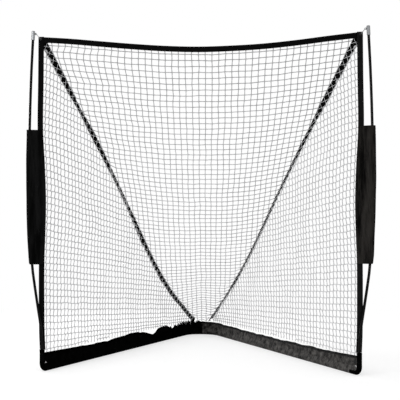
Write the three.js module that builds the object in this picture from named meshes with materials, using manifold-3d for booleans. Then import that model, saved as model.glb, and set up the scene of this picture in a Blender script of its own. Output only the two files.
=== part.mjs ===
// Portable lacrosse goal: a steel V base in a cloth skirt, two fibreglass bow poles and a net on them.
// Millimetres, +Z up. +X is to the right for someone who faces the mouth, and +Y runs into the goal.
// The origin is on the ground under the middle of the whole goal.

import * as THREE from "three";
import { mergeVertices } from "three/addons/utils/BufferGeometryUtils.js";
import Module from "manifold-3d";

const wasm = await Module();
wasm.setup();

// Overall sizes
const BASE_HALF = 895; // from the middle to a pole socket's axis, on the ground
const TOP_HALF = 932; // from the middle to the net's top corner
const NET_TOP = 1937; // height of the net's top corners
const TOP_SAG = 71; // how far the middle of the top border hangs below its corners
const BASE_RUN = 1953; // from the sockets' axes back to the rear bend's centreline
const REAR_RADIUS = 143; // rear bend, on the tube's centreline
const CLEARANCE = 0.3; // between pieces that touch or slide
const BEND_STEP = Math.PI / 15; // angle that one facet of a bend turns through
const ARC_SEGMENTS = 6; // on each round part of a flat outline
const CURVE_SAMPLES = 400; // places looked up on a smooth curve

// Base tube
const TUBE_R = 12.7;
const TUBE_WALL = 1.2;
const TUBE_SIDES = 12;
const CORNER_RADIUS = 38; // bend from the base up into the socket
const SOCKET_TOP = 118;
const NECK_LENGTH = 75; // swaged neck that goes into the next tube
const NECK_TAPER = 9;
const FRONT_JOINT = 620; // along the leg from the socket's axis
const REAR_JOINT = 1400;

// Snap buttons and their leaf springs
const BUTTON_R = 3.5;
const BUTTON_PROUD = 4.5; // above the outer tube
const BUTTON_FROM_NECK_END = 25;
const BUTTON_CROWN = 1.6; // height of the domed end
const LEAF_WIDTH = 7;
const LEAF_THICKNESS = 0.9;
const LEAF_TIP = 8; // from the neck's end to the leaves' tips
const LEAF_LENGTH = 42;
const LEAF_GAP_BELOW = 0.4; // between the upper leaf and the button hole's rim

// Poles
const POLE_R = 7.95;
const POLE_BORE_R = 4.6;
const POLE_SIDES = 10;
const POLE_BOW = 50; // how far the pole bows out from the line between its foot and its tip
const TIP_BESIDE_NET = 28; // from the net's top corner out to the pole's tip
const TIP_ABOVE_NET = 9;
const POLE_FOOT = 64; // lower end of the pole, in its bush
const POLE_JOINT = 1010;
const FERRULE_LENGTH = 120;
const FERRULE_WALL = 1.1;
const LOWER_STEPS = 10; // along the lower section of a pole
const UPPER_STEPS = 9;
const BUSH_FLOOR = 4;
const BUSH_RIM = 4;

// Tip caps, links and corner eyelets
const CAP_R = 10.4;
const CAP_LENGTH = 52;
const CAP_ABOVE_POLE = 20; // from the pole's end to the cap's rim
const CAP_FLOOR = 2;
const CAP_ROUND = 1.2;
const PLUG_RIM = 1.4;
const EYE_BELOW_RIM = 13;
const EYE_HOLE_R = 3.4;
const EYE_WALL = 2.6;
const EYE_THICKNESS = 3;
const EYE_BACK = 8.5; // from the cap's axis back to the middle of the eye's plate
const EYE_ROOT = 5.2; // from the cap's axis to the plate's end in the cap's wall
const LINK_WIRE_R = 1.5;
const LINK_HALF_WIDTH = 7;
const LINK_SPLIT = 1; // open gap of the split link
const LINK_PLAY = 1.5; // between the link's wire and the edge of each hole
const LINK_ARC_STEPS = 6;
const LINK_SIDES = 6;
const EYELET_HOLE_R = 4;
const EYELET_BARREL = 0.7;
const EYELET_RIM_R = 8;
const EYELET_RIM = 0.8;
const EYELET_INSET = 13; // from the corner's two edges to the eyelet's centre
const RING_SIDES = 12;
const MIRROR_X = [-1, 1, 1];

// Cloth and webbing
const CLOTH = 1.2;
const BORDER_WIDTH = 33;
const BORDER_THICKNESS = 3;
const BORDER_PULL = 8; // how far the sleeve draws the border in at mid height
const BORDER_STEPS = 18;
const SKIRT_HEIGHT = 108;
const FLANGE_HALF = 1.5;
const TENT_RISE = 30; // from the tube's axis to where the pocket's two layers meet
const TENT_HALF = 13.4; // half the pocket's width at the tube's axis
const POCKET_RISE = 8; // pocket above the socket's rim
const FLANGE_START = 62; // along the leg, where the tent-shaped pocket begins
const REAR_SEAM = 0.4; // gap between the two skirts at the rear
const STAKE_ALONG = 35; // stake eyelet, along the leg and above the ground
const STAKE_HEIGHT = 45;
const SLEEVE_BOTTOM = 622;
const SLEEVE_TOP = 1400;
const SLEEVE_OUTSIDE = 18; // from the pole's axis to the sleeve's outer edge
const SLEEVE_HALF = 11.6; // half the depth from the sleeve's front to its back
const SLEEVE_STEPS = 10;
const SLEEVE_FOLD = 1.4; // how far the soft folds move the cloth in and out
const SLEEVE_FOLDS = 5;
const SLEEVE_DRIFT = 1.6; // folds that the pattern moves along on the way up
const SLEEVE_LOOSE_SHARE = 0.7; // part of the width, from the border, that folds
const MITRE_LIMIT = 2; // the farthest that a sharp corner moves in, in cloth thicknesses
const STRAP_WIDTH = 27;
const STRAP_THICKNESS = 2;
const STRAP_LIFT = 6; // from the seam's line out to the strap's middle
const STRAP_REACH = 1.7; // from the netting's front edge on to the border's back
const STRAP_END_SHARE = 0.985; // part of the seam that the strap covers
const STRAP_STEPS = 20;
const STRAP_SAG = { left: 125, right: 75 }; // the two seams don't hang alike

// Netting
const GAP = 171.5; // one modelled gap, for four and a half squares of the real 38.1 mm netting
const TWINE = 5;
const NET_EDGE = 7; // width of a panel's edge cord
const NET_LIFT = 1.9; // from the skirt's top to the middle of a side panel's lower edge
const NET_SEAM_BACK = 9; // from the seam's line back to a panel's edge
const NET_TAIL = 42; // a side panel's height where it ends at the rear
const NET_SAG = 127; // how far the back panel hangs in below the flat
const REAR_HALF = 62; // from the middle to where a seam ends at the rear
const REAR_SET_IN = 26; // from the rear bend's centreline in to the net's end
const REAR_ARC_SHARE = 0.06; // part of the skirt's edge that follows the rear bend
const GAP_LEAST_SHARE = 0.03; // smallest cut gap kept, as a share of a whole one
const NEAR_SHARE = 1e-3; // a small step on a panel

// Places that follow from the sizes above
const POLE_TOP = NET_TOP + TIP_ABOVE_NET;
const COVER_R = TUBE_R + CLEARANCE + CLOTH;
const TUBE_Z = COVER_R * Math.cos(Math.PI / TUBE_SIDES);
const FRONT_Y = -BASE_RUN / 2;
const REAR_Y = BASE_RUN / 2;
const TUBE_BORE_R = TUBE_R - TUBE_WALL;
const NECK_R = TUBE_BORE_R - CLEARANCE;
const NECK_BORE_R = NECK_R - TUBE_WALL;
const POCKET_R = TUBE_R + CLEARANCE;
const BORDER_FRONT = SLEEVE_HALF + CLEARANCE;
const BORDER_Y = BORDER_FRONT + BORDER_THICKNESS / 2;
const NET_FRONT = BORDER_FRONT + BORDER_THICKNESS + TWINE / 2;
const BENT_RUN = BASE_RUN - REAR_RADIUS;
const BENT_REACH = Math.hypot(BASE_HALF, BENT_RUN);
const LEG_ANGLE = Math.atan2(BASE_HALF, BENT_RUN) - Math.asin(REAR_RADIUS / BENT_REACH);
const LEG_LENGTH = Math.sqrt(BENT_REACH ** 2 - REAR_RADIUS ** 2);
const APEX_RUN = BASE_HALF / Math.tan(LEG_ANGLE);
const SIDES = [-1, 1];
const sideName = (side) => (side < 0 ? "left" : "right");

const finish = (color, roughness, metalness = 0) =>
  new THREE.MeshStandardMaterial({ color, roughness, metalness });
const black = (roughness, metalness = 0) => finish(0x0d0d0e, roughness, metalness);
const PAINTED_TUBE = black(0.45, 0.6);
const CLOTH_BLACK = black(0.85);
const WEBBING_BLACK = black(0.9);
const FIBREGLASS = black(0.25);
const PLASTIC_BLACK = black(0.5);
const BUTTON_STEEL = finish(0xb9bcc0, 0.3, 1);
const SPRING_STEEL = finish(0x8d9196, 0.35, 1);
const POLISHED_STEEL = finish(0xd2d4d6, 0.18, 1);
const EYELET_STEEL = finish(0x9a9c9f, 0.3, 1);
const NET_WHITE = finish(0xe6e6e4, 0.8);

// Closed meshes as solids that can be joined and cut, and back again
function toSolid(geometry) {
  const bare = geometry.clone();
  bare.deleteAttribute("normal");
  bare.deleteAttribute("uv");
  const merged = mergeVertices(bare);
  return new wasm.Manifold(
    new wasm.Mesh({
      numProp: 3,
      vertProperties: new Float32Array(merged.attributes.position.array),
      triVerts: new Uint32Array(merged.index.array),
    }),
  );
}

function fromSolid(solid) {
  const mesh = solid.getMesh();
  const geometry = new THREE.BufferGeometry();
  const places = [];
  for (let i = 0; i < mesh.vertProperties.length; i += mesh.numProp) {
    places.push(...mesh.vertProperties.slice(i, i + 3));
  }
  geometry.setAttribute("position", new THREE.Float32BufferAttribute(places, 3));
  geometry.setIndex(Array.from(mesh.triVerts));
  geometry.computeVertexNormals();
  return geometry;
}

// A route that a section follows. Its stations lie where the bends need them, not evenly along it.
class Route extends THREE.Curve {
  constructor(points, tangents) {
    super();
    this.points = points;
    this.tangents = tangents;
  }
  get steps() {
    return this.points.length - 1;
  }
  pick(list, u, target) {
    const at = u * this.steps;
    const low = Math.min(Math.floor(at), this.steps - 1);
    return target.lerpVectors(list[low], list[low + 1], at - low);
  }
  getPoint(u, target = new THREE.Vector3()) {
    return this.pick(this.points, u, target);
  }
  getPointAt(u, target = new THREE.Vector3()) {
    return this.pick(this.points, u, target);
  }
  getTangentAt(u, target = new THREE.Vector3()) {
    return this.pick(this.tangents, u, target).normalize();
  }
}

// Straight runs between corners, each corner rounded by its own radius
function bentRoute(corners, radii) {
  const points = [corners[0]];
  const tangents = [corners[1].clone().sub(corners[0]).normalize()];
  for (let i = 1; i < corners.length - 1; i += 1) {
    const before = corners[i].clone().sub(corners[i - 1]).normalize();
    const after = corners[i + 1].clone().sub(corners[i]).normalize();
    const turn = before.angleTo(after);
    const arcSteps = Math.round(turn / BEND_STEP);
    const radius = radii[i - 1];
    const start = corners[i].clone().addScaledVector(before, -radius * Math.tan(turn / 2));
    const across = after.clone().addScaledVector(before, -after.dot(before)).normalize();
    for (let k = 0; k <= arcSteps; k += 1) {
      const angle = (turn * k) / arcSteps;
      points.push(
        start
          .clone()
          .addScaledVector(before, radius * Math.sin(angle))
          .addScaledVector(across, radius * (1 - Math.cos(angle))),
      );
      const tangent = before.clone().multiplyScalar(Math.cos(angle));
      tangents.push(tangent.addScaledVector(across, Math.sin(angle)));
    }
  }
  points.push(corners.at(-1));
  tangents.push(tangents.at(-1).clone());
  return new Route(points, tangents);
}

// A regular polygon with one flat side towards +x
const ringPoints = (radius, sides) =>
  Array.from({ length: sides }, (_, i) => {
    const angle = ((i + 0.5) * 2 * Math.PI) / sides;
    return new THREE.Vector2(radius * Math.cos(angle), radius * Math.sin(angle));
  });

const sweep = (section, route) =>
  new THREE.ExtrudeGeometry(section, {
    steps: route.steps,
    bevelEnabled: false,
    extrudePath: route,
  });

const rodAlong = (route, radius, sides) =>
  sweep(new THREE.Shape(ringPoints(radius, sides)), route);

function pipeAlong(route, radius, boreRadius, sides) {
  const section = new THREE.Shape(ringPoints(radius, sides));
  section.holes.push(new THREE.Path(ringPoints(boreRadius, sides).reverse()));
  return sweep(section, route);
}

// A turned piece about +X. The profile lists [distance along, radius] and closes on itself.
function turned(profile, sides, flatUp = true) {
  const points = profile.map(([along, radius]) => new THREE.Vector2(radius, along));
  points.push(points[0].clone());
  const geometry = new THREE.LatheGeometry(points, sides);
  if (flatUp) geometry.rotateY(Math.PI / sides);
  return geometry.rotateZ(-Math.PI / 2);
}

const drill = (radius, length, sides = RING_SIDES) =>
  new THREE.CylinderGeometry(radius, radius, length, sides);

function named(name, geometry, material) {
  const mesh = new THREE.Mesh(geometry, material);
  mesh.name = name;
  return mesh;
}

// The leg's own axes: +X runs along the leg from the socket, +Z is up
function legGroup(side) {
  const group = new THREE.Group();
  group.position.set(side * BASE_HALF, FRONT_Y, 0);
  group.rotation.z = Math.PI / 2 + side * LEG_ANGLE;
  return group;
}

const legPoint = (side, along, height) =>
  new THREE.Vector3(
    side * (BASE_HALF - along * Math.sin(LEG_ANGLE)),
    FRONT_Y + along * Math.cos(LEG_ANGLE),
    height,
  );

// Base tubes
const DRILL_LENGTH = 3 * TUBE_R;
const buttonPlaces = {
  front: FRONT_JOINT - NECK_LENGTH + BUTTON_FROM_NECK_END,
  rear: REAR_JOINT + NECK_LENGTH - BUTTON_FROM_NECK_END,
};

// A round hole through the tube's upper wall only
function upwardDrill(along, z = TUBE_Z) {
  const hole = drill(BUTTON_R + CLEARANCE, DRILL_LENGTH);
  hole.rotateX(Math.PI / 2);
  hole.translate(along, 0, z + DRILL_LENGTH / 2);
  return toSolid(hole);
}

function frontTube() {
  const route = bentRoute(
    [
      new THREE.Vector3(FRONT_JOINT - CLEARANCE, 0, TUBE_Z),
      new THREE.Vector3(0, 0, TUBE_Z),
      new THREE.Vector3(0, 0, SOCKET_TOP),
    ],
    [CORNER_RADIUS],
  );
  const tube = toSolid(pipeAlong(route, TUBE_R, TUBE_BORE_R, TUBE_SIDES));
  return fromSolid(tube.subtract(upwardDrill(buttonPlaces.front)));
}

function midTube() {
  const taperStart = NECK_LENGTH - NECK_TAPER;
  const end = REAR_JOINT + taperStart;
  const start = FRONT_JOINT - taperStart;
  const shoulderOut = TUBE_R - TUBE_WALL;
  const profile = [
    [start - NECK_TAPER, NECK_R],
    [FRONT_JOINT - CLEARANCE, NECK_R],
    [FRONT_JOINT + CLEARANCE, TUBE_R],
    [REAR_JOINT - CLEARANCE, TUBE_R],
    [REAR_JOINT + CLEARANCE, NECK_R],
    [end + NECK_TAPER, NECK_R],
    [end + NECK_TAPER, NECK_BORE_R],
    [REAR_JOINT + CLEARANCE, NECK_BORE_R],
    [REAR_JOINT - NECK_TAPER, shoulderOut],
    [FRONT_JOINT + NECK_TAPER, shoulderOut],
    [FRONT_JOINT - CLEARANCE, NECK_BORE_R],
    [start - NECK_TAPER, NECK_BORE_R],
  ];
  const tube = turned(profile, TUBE_SIDES);
  tube.translate(0, 0, TUBE_Z);
  return fromSolid(
    toSolid(tube)
      .subtract(upwardDrill(buttonPlaces.front))
      .subtract(upwardDrill(buttonPlaces.rear)),
  );
}

function rearBendTube() {
  const start = REAR_JOINT + CLEARANCE;
  const route = bentRoute(
    [
      legPoint(1, start, TUBE_Z),
      new THREE.Vector3(0, FRONT_Y + APEX_RUN, TUBE_Z),
      legPoint(-1, start, TUBE_Z),
    ],
    [REAR_RADIUS],
  );
  let tube = toSolid(pipeAlong(route, TUBE_R, TUBE_BORE_R, TUBE_SIDES));
  for (const side of SIDES) {
    const hole = drill(BUTTON_R + CLEARANCE, DRILL_LENGTH);
    hole.rotateX(Math.PI / 2);
    const place = legPoint(side, buttonPlaces.rear, TUBE_Z + DRILL_LENGTH / 2);
    hole.translate(place.x, place.y, place.z);
    tube = tube.subtract(toSolid(hole));
  }
  return fromSolid(tube);
}

// The button, riveted to the upper leaf of its spring, at the origin with the tube's axis along +X
const LEAF_HIGH = Math.sqrt(NECK_BORE_R ** 2 - (LEAF_WIDTH / 2) ** 2) - LEAF_GAP_BELOW;
const leafSpan = {
  tip: LEAF_TIP - BUTTON_FROM_NECK_END,
  bend: LEAF_TIP + LEAF_LENGTH - BUTTON_FROM_NECK_END,
};

function snapButton() {
  const top = TUBE_R + BUTTON_PROUD;
  const profile = [
    new THREE.Vector2(0, LEAF_HIGH - LEAF_THICKNESS / 2),
    new THREE.Vector2(BUTTON_R, LEAF_HIGH - LEAF_THICKNESS / 2),
    new THREE.Vector2(BUTTON_R, top - BUTTON_CROWN),
    new THREE.Vector2(BUTTON_R * Math.cos(Math.PI / 6), top - BUTTON_CROWN / 2),
    new THREE.Vector2(BUTTON_R / 2, top - BUTTON_CROWN * (1 - Math.cos(Math.PI / 6))),
    new THREE.Vector2(0, top),
  ];
  const post = new THREE.LatheGeometry(profile, RING_SIDES);
  post.rotateX(Math.PI / 2);
  const reach = leafSpan.bend - leafSpan.tip;
  const leaf = new THREE.BoxGeometry(reach, LEAF_WIDTH, LEAF_THICKNESS);
  leaf.translate(leafSpan.tip + reach / 2, 0, LEAF_HIGH - LEAF_THICKNESS / 2);
  return fromSolid(toSolid(post).add(toSolid(leaf)));
}

// The fixed half of the spring: the lower leaf and the bend that comes up to the upper one
function springClip() {
  const bend = leafSpan.bend + CLEARANCE;
  const low = -LEAF_HIGH;
  const outline = new THREE.Shape();
  outline.moveTo(leafSpan.tip, low);
  outline.lineTo(bend, low);
  outline.absarc(bend, 0, LEAF_HIGH, -Math.PI / 2, Math.PI / 2, false);
  outline.lineTo(bend, LEAF_HIGH - LEAF_THICKNESS);
  outline.absarc(bend, 0, LEAF_HIGH - LEAF_THICKNESS, Math.PI / 2, -Math.PI / 2, true);
  outline.lineTo(leafSpan.tip, low + LEAF_THICKNESS);
  outline.closePath();
  const clip = new THREE.ExtrudeGeometry(outline, {
    depth: LEAF_WIDTH,
    bevelEnabled: false,
    curveSegments: ARC_SEGMENTS,
  });
  clip.translate(0, 0, -LEAF_WIDTH / 2);
  clip.rotateX(Math.PI / 2);
  return clip;
}

// Poles. Their bow is a list of [share of the way up, share of the bow].
const poleBowShares = [
  [0, 0],
  [0.045, -0.01],
  [0.1, 0.2],
  [0.17, 0.52],
  [0.27, 0.9],
  [0.47, 1],
  [0.68, 0.76],
  [0.86, 0.39],
  [1, 0],
];
const POLE_FREE = SOCKET_TOP + BUSH_RIM; // the pole starts to bow above its bush

function poleCurve() {
  const foot = new THREE.Vector3(BASE_HALF, FRONT_Y, POLE_FREE);
  const tipEnd = new THREE.Vector3(TOP_HALF + TIP_BESIDE_NET, FRONT_Y, POLE_TOP);
  const points = poleBowShares.map(([up, out]) => {
    const place = foot.clone().lerp(tipEnd, up);
    return place.setX(place.x + out * POLE_BOW);
  });
  return new THREE.CatmullRomCurve3(points, false, "centripetal");
}

const POLE = poleCurve();
const poleTable = POLE.getPoints(CURVE_SAMPLES);

// Where the right pole's axis is at a height, and which way it leans
function poleAt(height) {
  if (height <= POLE_FREE) {
    return { x: BASE_HALF, lean: 0 };
  }
  const above = poleTable.findIndex((p) => p.z >= height);
  const i = above < 1 ? poleTable.length - 1 : above;
  const [a, b] = [poleTable[i - 1], poleTable[i]];
  const slope = (b.x - a.x) / (b.z - a.z);
  return { x: a.x + (height - a.z) * slope, lean: Math.atan(slope) };
}

// A length of pole: straight inside its bush, then in even steps along the bow
function poleSection(side, from, to, steps) {
  const bowFrom = Math.max(from, POLE_FREE);
  const heights = from < bowFrom ? [from] : [];
  for (let i = 0; i <= steps; i += 1) {
    heights.push(bowFrom + ((to - bowFrom) * i) / steps);
  }
  const points = [];
  const tangents = [];
  for (const height of heights) {
    const { x, lean } = poleAt(height);
    points.push(new THREE.Vector3(side * x, FRONT_Y, height));
    tangents.push(new THREE.Vector3(side * Math.sin(lean), 0, Math.cos(lean)));
  }
  return new Route(points, tangents);
}

const polePipe = (side, from, to, steps) =>
  pipeAlong(poleSection(side, from, to, steps), POLE_R, POLE_BORE_R, POLE_SIDES);

function poleFerrule(side) {
  const route = poleSection(
    side,
    POLE_JOINT - FERRULE_LENGTH / 2,
    POLE_JOINT + FERRULE_LENGTH / 2,
    2,
  );
  const bore = POLE_R + CLEARANCE;
  return pipeAlong(route, bore + FERRULE_WALL, bore, POLE_SIDES);
}

// The bush stands in the socket on the pole's axis and stops the pole at its floor
function socketBush() {
  const bore = (POLE_R + CLEARANCE) / Math.cos(Math.PI / TUBE_SIDES);
  const rim = SOCKET_TOP + CLEARANCE;
  const floor = POLE_FOOT - CLEARANCE;
  const profile = [
    [floor - BUSH_FLOOR, 0],
    [floor - BUSH_FLOOR, NECK_R],
    [rim, NECK_R],
    [rim, TUBE_R],
    [rim + BUSH_RIM, TUBE_R],
    [rim + BUSH_RIM, bore],
    [floor, bore],
    [floor, 0],
  ];
  const points = profile.map(([z, r]) => new THREE.Vector2(r, z));
  const bush = new THREE.LatheGeometry(points, TUBE_SIDES);
  bush.rotateX(Math.PI / 2);
  bush.rotateZ(Math.PI / TUBE_SIDES);
  return bush;
}

// Tip cap, about its own axis, with the pole's end at z = 0. The right cap's eye points to -X.
const capRim = CAP_ABOVE_POLE;
const capSkirt = CAP_ABOVE_POLE - CAP_LENGTH;
const plugSeat = CLEARANCE + CAP_FLOOR;
const eyeCentre = -(CAP_R + EYE_HOLE_R + EYE_WALL / 2);

function tipCap(side) {
  const bore = (POLE_R + CLEARANCE) / Math.cos(Math.PI / RING_SIDES);
  const profile = [
    [CLEARANCE, 0],
    [CLEARANCE, bore],
    [capSkirt, bore],
    [capSkirt, CAP_R - CAP_ROUND],
    [capSkirt + CAP_ROUND, CAP_R],
    [capRim - CAP_ROUND, CAP_R],
    [capRim, CAP_R - CAP_ROUND],
    [capRim, bore],
    [plugSeat, bore],
    [plugSeat, 0],
  ];
  const points = profile.map(([z, r]) => new THREE.Vector2(r, z));
  const cap = new THREE.LatheGeometry(points, RING_SIDES);
  cap.rotateX(Math.PI / 2);
  const outer = EYE_HOLE_R + EYE_WALL;
  const eye = new THREE.Shape();
  eye.absarc(eyeCentre, 0, outer, Math.PI / 2, (3 * Math.PI) / 2, false);
  eye.lineTo(-EYE_ROOT, -outer);
  eye.lineTo(-EYE_ROOT, outer);
  eye.closePath();
  const hole = new THREE.Path();
  hole.absarc(eyeCentre, 0, EYE_HOLE_R, 0, 2 * Math.PI, true);
  eye.holes.push(hole);
  const plate = new THREE.ExtrudeGeometry(eye, {
    depth: EYE_THICKNESS,
    bevelEnabled: false,
    curveSegments: ARC_SEGMENTS,
  });
  plate.translate(0, 0, -EYE_THICKNESS / 2);
  plate.rotateX(Math.PI / 2);
  plate.translate(0, EYE_BACK, capRim - EYE_BELOW_RIM);
  const whole = toSolid(cap).add(toSolid(plate));
  return fromSolid(side < 0 ? whole.scale(MIRROR_X) : whole);
}

function tipPlug() {
  const seat = plugSeat + CLEARANCE;
  const profile = [
    [seat, 0],
    [seat, POLE_R],
    [capRim + CLEARANCE, POLE_R],
    [capRim + CLEARANCE, CAP_R - CAP_ROUND],
    [capRim + PLUG_RIM, CAP_R - 2 * CAP_ROUND],
    [capRim + PLUG_RIM, 0],
  ];
  const points = profile.map(([z, r]) => new THREE.Vector2(r, z));
  const plug = new THREE.LatheGeometry(points, RING_SIDES);
  return plug.rotateX(Math.PI / 2);
}

const tip = poleAt(POLE_TOP);

function capGroup(side) {
  const group = new THREE.Group();
  group.position.set(side * tip.x, FRONT_Y, POLE_TOP);
  group.rotation.y = side * tip.lean;
  return group;
}

// The split link hangs in the cap's eye and the corner eyelet, and both holes run along Y
const eyelet = new THREE.Vector3(
  TOP_HALF - EYELET_INSET,
  FRONT_Y + BORDER_Y,
  NET_TOP - EYELET_INSET,
);
const eyeUp = capRim - EYE_BELOW_RIM;
const eyePlace = new THREE.Vector3(
  tip.x + eyeCentre * Math.cos(tip.lean) + eyeUp * Math.sin(tip.lean),
  FRONT_Y + EYE_BACK,
  POLE_TOP + eyeUp * Math.cos(tip.lean) - eyeCentre * Math.sin(tip.lean),
);

function cornerLink(side) {
  const pull = eyePlace.clone().sub(eyelet).setY(0).normalize();
  const low = eyelet.clone().addScaledVector(pull, EYELET_HOLE_R - LINK_WIRE_R - LINK_PLAY);
  const high = eyePlace.clone().addScaledVector(pull, LINK_PLAY + LINK_WIRE_R - EYE_HOLE_R);
  const middle = low.clone().lerp(high, 0.5);
  const along = high.clone().sub(low).normalize();
  const across = new THREE.Vector3(0, 1, 0);
  across.addScaledVector(along, -across.dot(along)).normalize();
  const straight = low.distanceTo(high) / 2 - LINK_HALF_WIDTH;
  const points = [];
  const tangents = [];
  const put = (a, c, alongPart, acrossPart) => {
    points.push(middle.clone().addScaledVector(along, a).addScaledVector(across, c));
    tangents.push(along.clone().multiplyScalar(alongPart).addScaledVector(across, acrossPart));
  };
  put(-LINK_SPLIT / 2, LINK_HALF_WIDTH, -1, 0);
  for (const end of [-1, 1]) {
    for (let k = 0; k <= LINK_ARC_STEPS; k += 1) {
      const angle = (Math.PI * k) / LINK_ARC_STEPS;
      const reach = straight + LINK_HALF_WIDTH * Math.sin(angle);
      const width = -end * LINK_HALF_WIDTH * Math.cos(angle);
      put(end * reach, width, end * Math.cos(angle), end * Math.sin(angle));
    }
  }
  put(LINK_SPLIT / 2, LINK_HALF_WIDTH, -1, 0);
  for (const list of [points, tangents]) list.forEach((v) => v.setX(side * v.x));
  return rodAlong(new Route(points, tangents), LINK_WIRE_R, LINK_SIDES);
}

// An eyelet about +Z through cloth of some thickness
function eyeletRing(thickness) {
  const inner = EYELET_HOLE_R;
  const barrel = inner + EYELET_BARREL;
  const half = thickness / 2 + CLEARANCE;
  const outer = half + EYELET_RIM;
  const profile = [
    [-outer, inner],
    [-outer, EYELET_RIM_R - EYELET_RIM],
    [-half, EYELET_RIM_R],
    [-half, barrel],
    [half, barrel],
    [half, EYELET_RIM_R],
    [outer, EYELET_RIM_R - EYELET_RIM],
    [outer, inner],
  ];
  return turned(profile, RING_SIDES, false);
}

const eyeletHole = EYELET_HOLE_R + EYELET_BARREL + CLEARANCE;

// The side border's middle line, as [share of the height, share of the pull-in]
const borderPullShares = [
  [0, 0],
  [0.06, -0.5],
  [0.16, -0.6],
  [0.28, -0.4],
  [0.37, 0.4],
  [0.47, 0.95],
  [0.58, 0.3],
  [0.7, -0.95],
  [0.86, -0.4],
  [1, 0],
];
const BORDER_FOOT = SOCKET_TOP + POCKET_RISE + CLEARANCE;
const borderTopX = TOP_HALF - BORDER_WIDTH / 2;

function borderCurve() {
  const points = borderPullShares.map(
    ([up, pull]) =>
      new THREE.Vector2(
        BASE_HALF + up * (borderTopX - BASE_HALF) - pull * BORDER_PULL,
        BORDER_FOOT + up * (NET_TOP - BORDER_FOOT),
      ),
  );
  return new THREE.SplineCurve(points);
}

const borderTable = borderCurve().getPoints(CURVE_SAMPLES);

function borderMiddle(height) {
  const above = borderTable.findIndex((p) => p.y >= height);
  if (above < 1) {
    return above === 0 ? borderTable[0].x : borderTable.at(-1).x;
  }
  const [a, b] = [borderTable[above - 1], borderTable[above]];
  return a.x + ((height - a.y) * (b.x - a.x)) / (b.y - a.y);
}

const bandSettings = { depth: BORDER_THICKNESS, bevelEnabled: false, curveSegments: ARC_SEGMENTS };

// A flat band in the mouth's plane, drawn in X and Z
function mouthBand(outline) {
  const band = new THREE.ExtrudeGeometry(outline, bandSettings);
  band.translate(0, 0, -BORDER_THICKNESS / 2);
  band.rotateX(Math.PI / 2);
  band.translate(0, FRONT_Y + BORDER_Y, 0);
  return band;
}

function sideBorder(side) {
  const left = [];
  const right = [];
  for (let i = 0; i <= BORDER_STEPS; i += 1) {
    const height = BORDER_FOOT + ((NET_TOP - BORDER_FOOT) * i) / BORDER_STEPS;
    const middle = side * borderMiddle(height);
    left.push(new THREE.Vector2(middle - BORDER_WIDTH / 2, height));
    right.push(new THREE.Vector2(middle + BORDER_WIDTH / 2, height));
  }
  const outline = new THREE.Shape([...right, ...left.reverse()]);
  const hole = new THREE.Path();
  hole.absarc(side * eyelet.x, eyelet.z, eyeletHole, 0, 2 * Math.PI, true);
  outline.holes.push(hole);
  return mouthBand(outline);
}

const topSagAt = (x) => TOP_SAG * (1 - (x / TOP_HALF) ** 2);

function topBorder() {
  const upper = [];
  const lower = [];
  const inset = BORDER_WIDTH + CLEARANCE;
  for (let i = 0; i <= BORDER_STEPS; i += 1) {
    const share = (2 * i) / BORDER_STEPS - 1;
    const highX = share * (TOP_HALF - inset);
    const high = NET_TOP - topSagAt(highX);
    upper.push(new THREE.Vector2(highX, high));
    const lowX = share * (borderMiddle(high - BORDER_WIDTH) - BORDER_WIDTH / 2 - CLEARANCE);
    lower.push(new THREE.Vector2(lowX, high - BORDER_WIDTH));
  }
  return mouthBand(new THREE.Shape([...lower, ...upper.reverse()]));
}

// Skirts: a pocket round the base tube with two layers that meet in an upright flange.
// Each is made in its leg's own axes, and ends at the middle of the rear bend.
const LEG_TO_APEX = Math.hypot(BASE_HALF, APEX_RUN);

function skirtRoute(side, start, radii) {
  const turn = 2 * LEG_ANGLE;
  const away = new THREE.Vector3(-Math.cos(turn), side * Math.sin(turn), 0);
  const apex = new THREE.Vector3(LEG_TO_APEX, 0, TUBE_Z);
  const end = apex.clone().addScaledVector(away, LEG_TO_APEX - LEG_LENGTH + CORNER_RADIUS);
  return bentRoute([...start, apex, end], radii);
}

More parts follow.
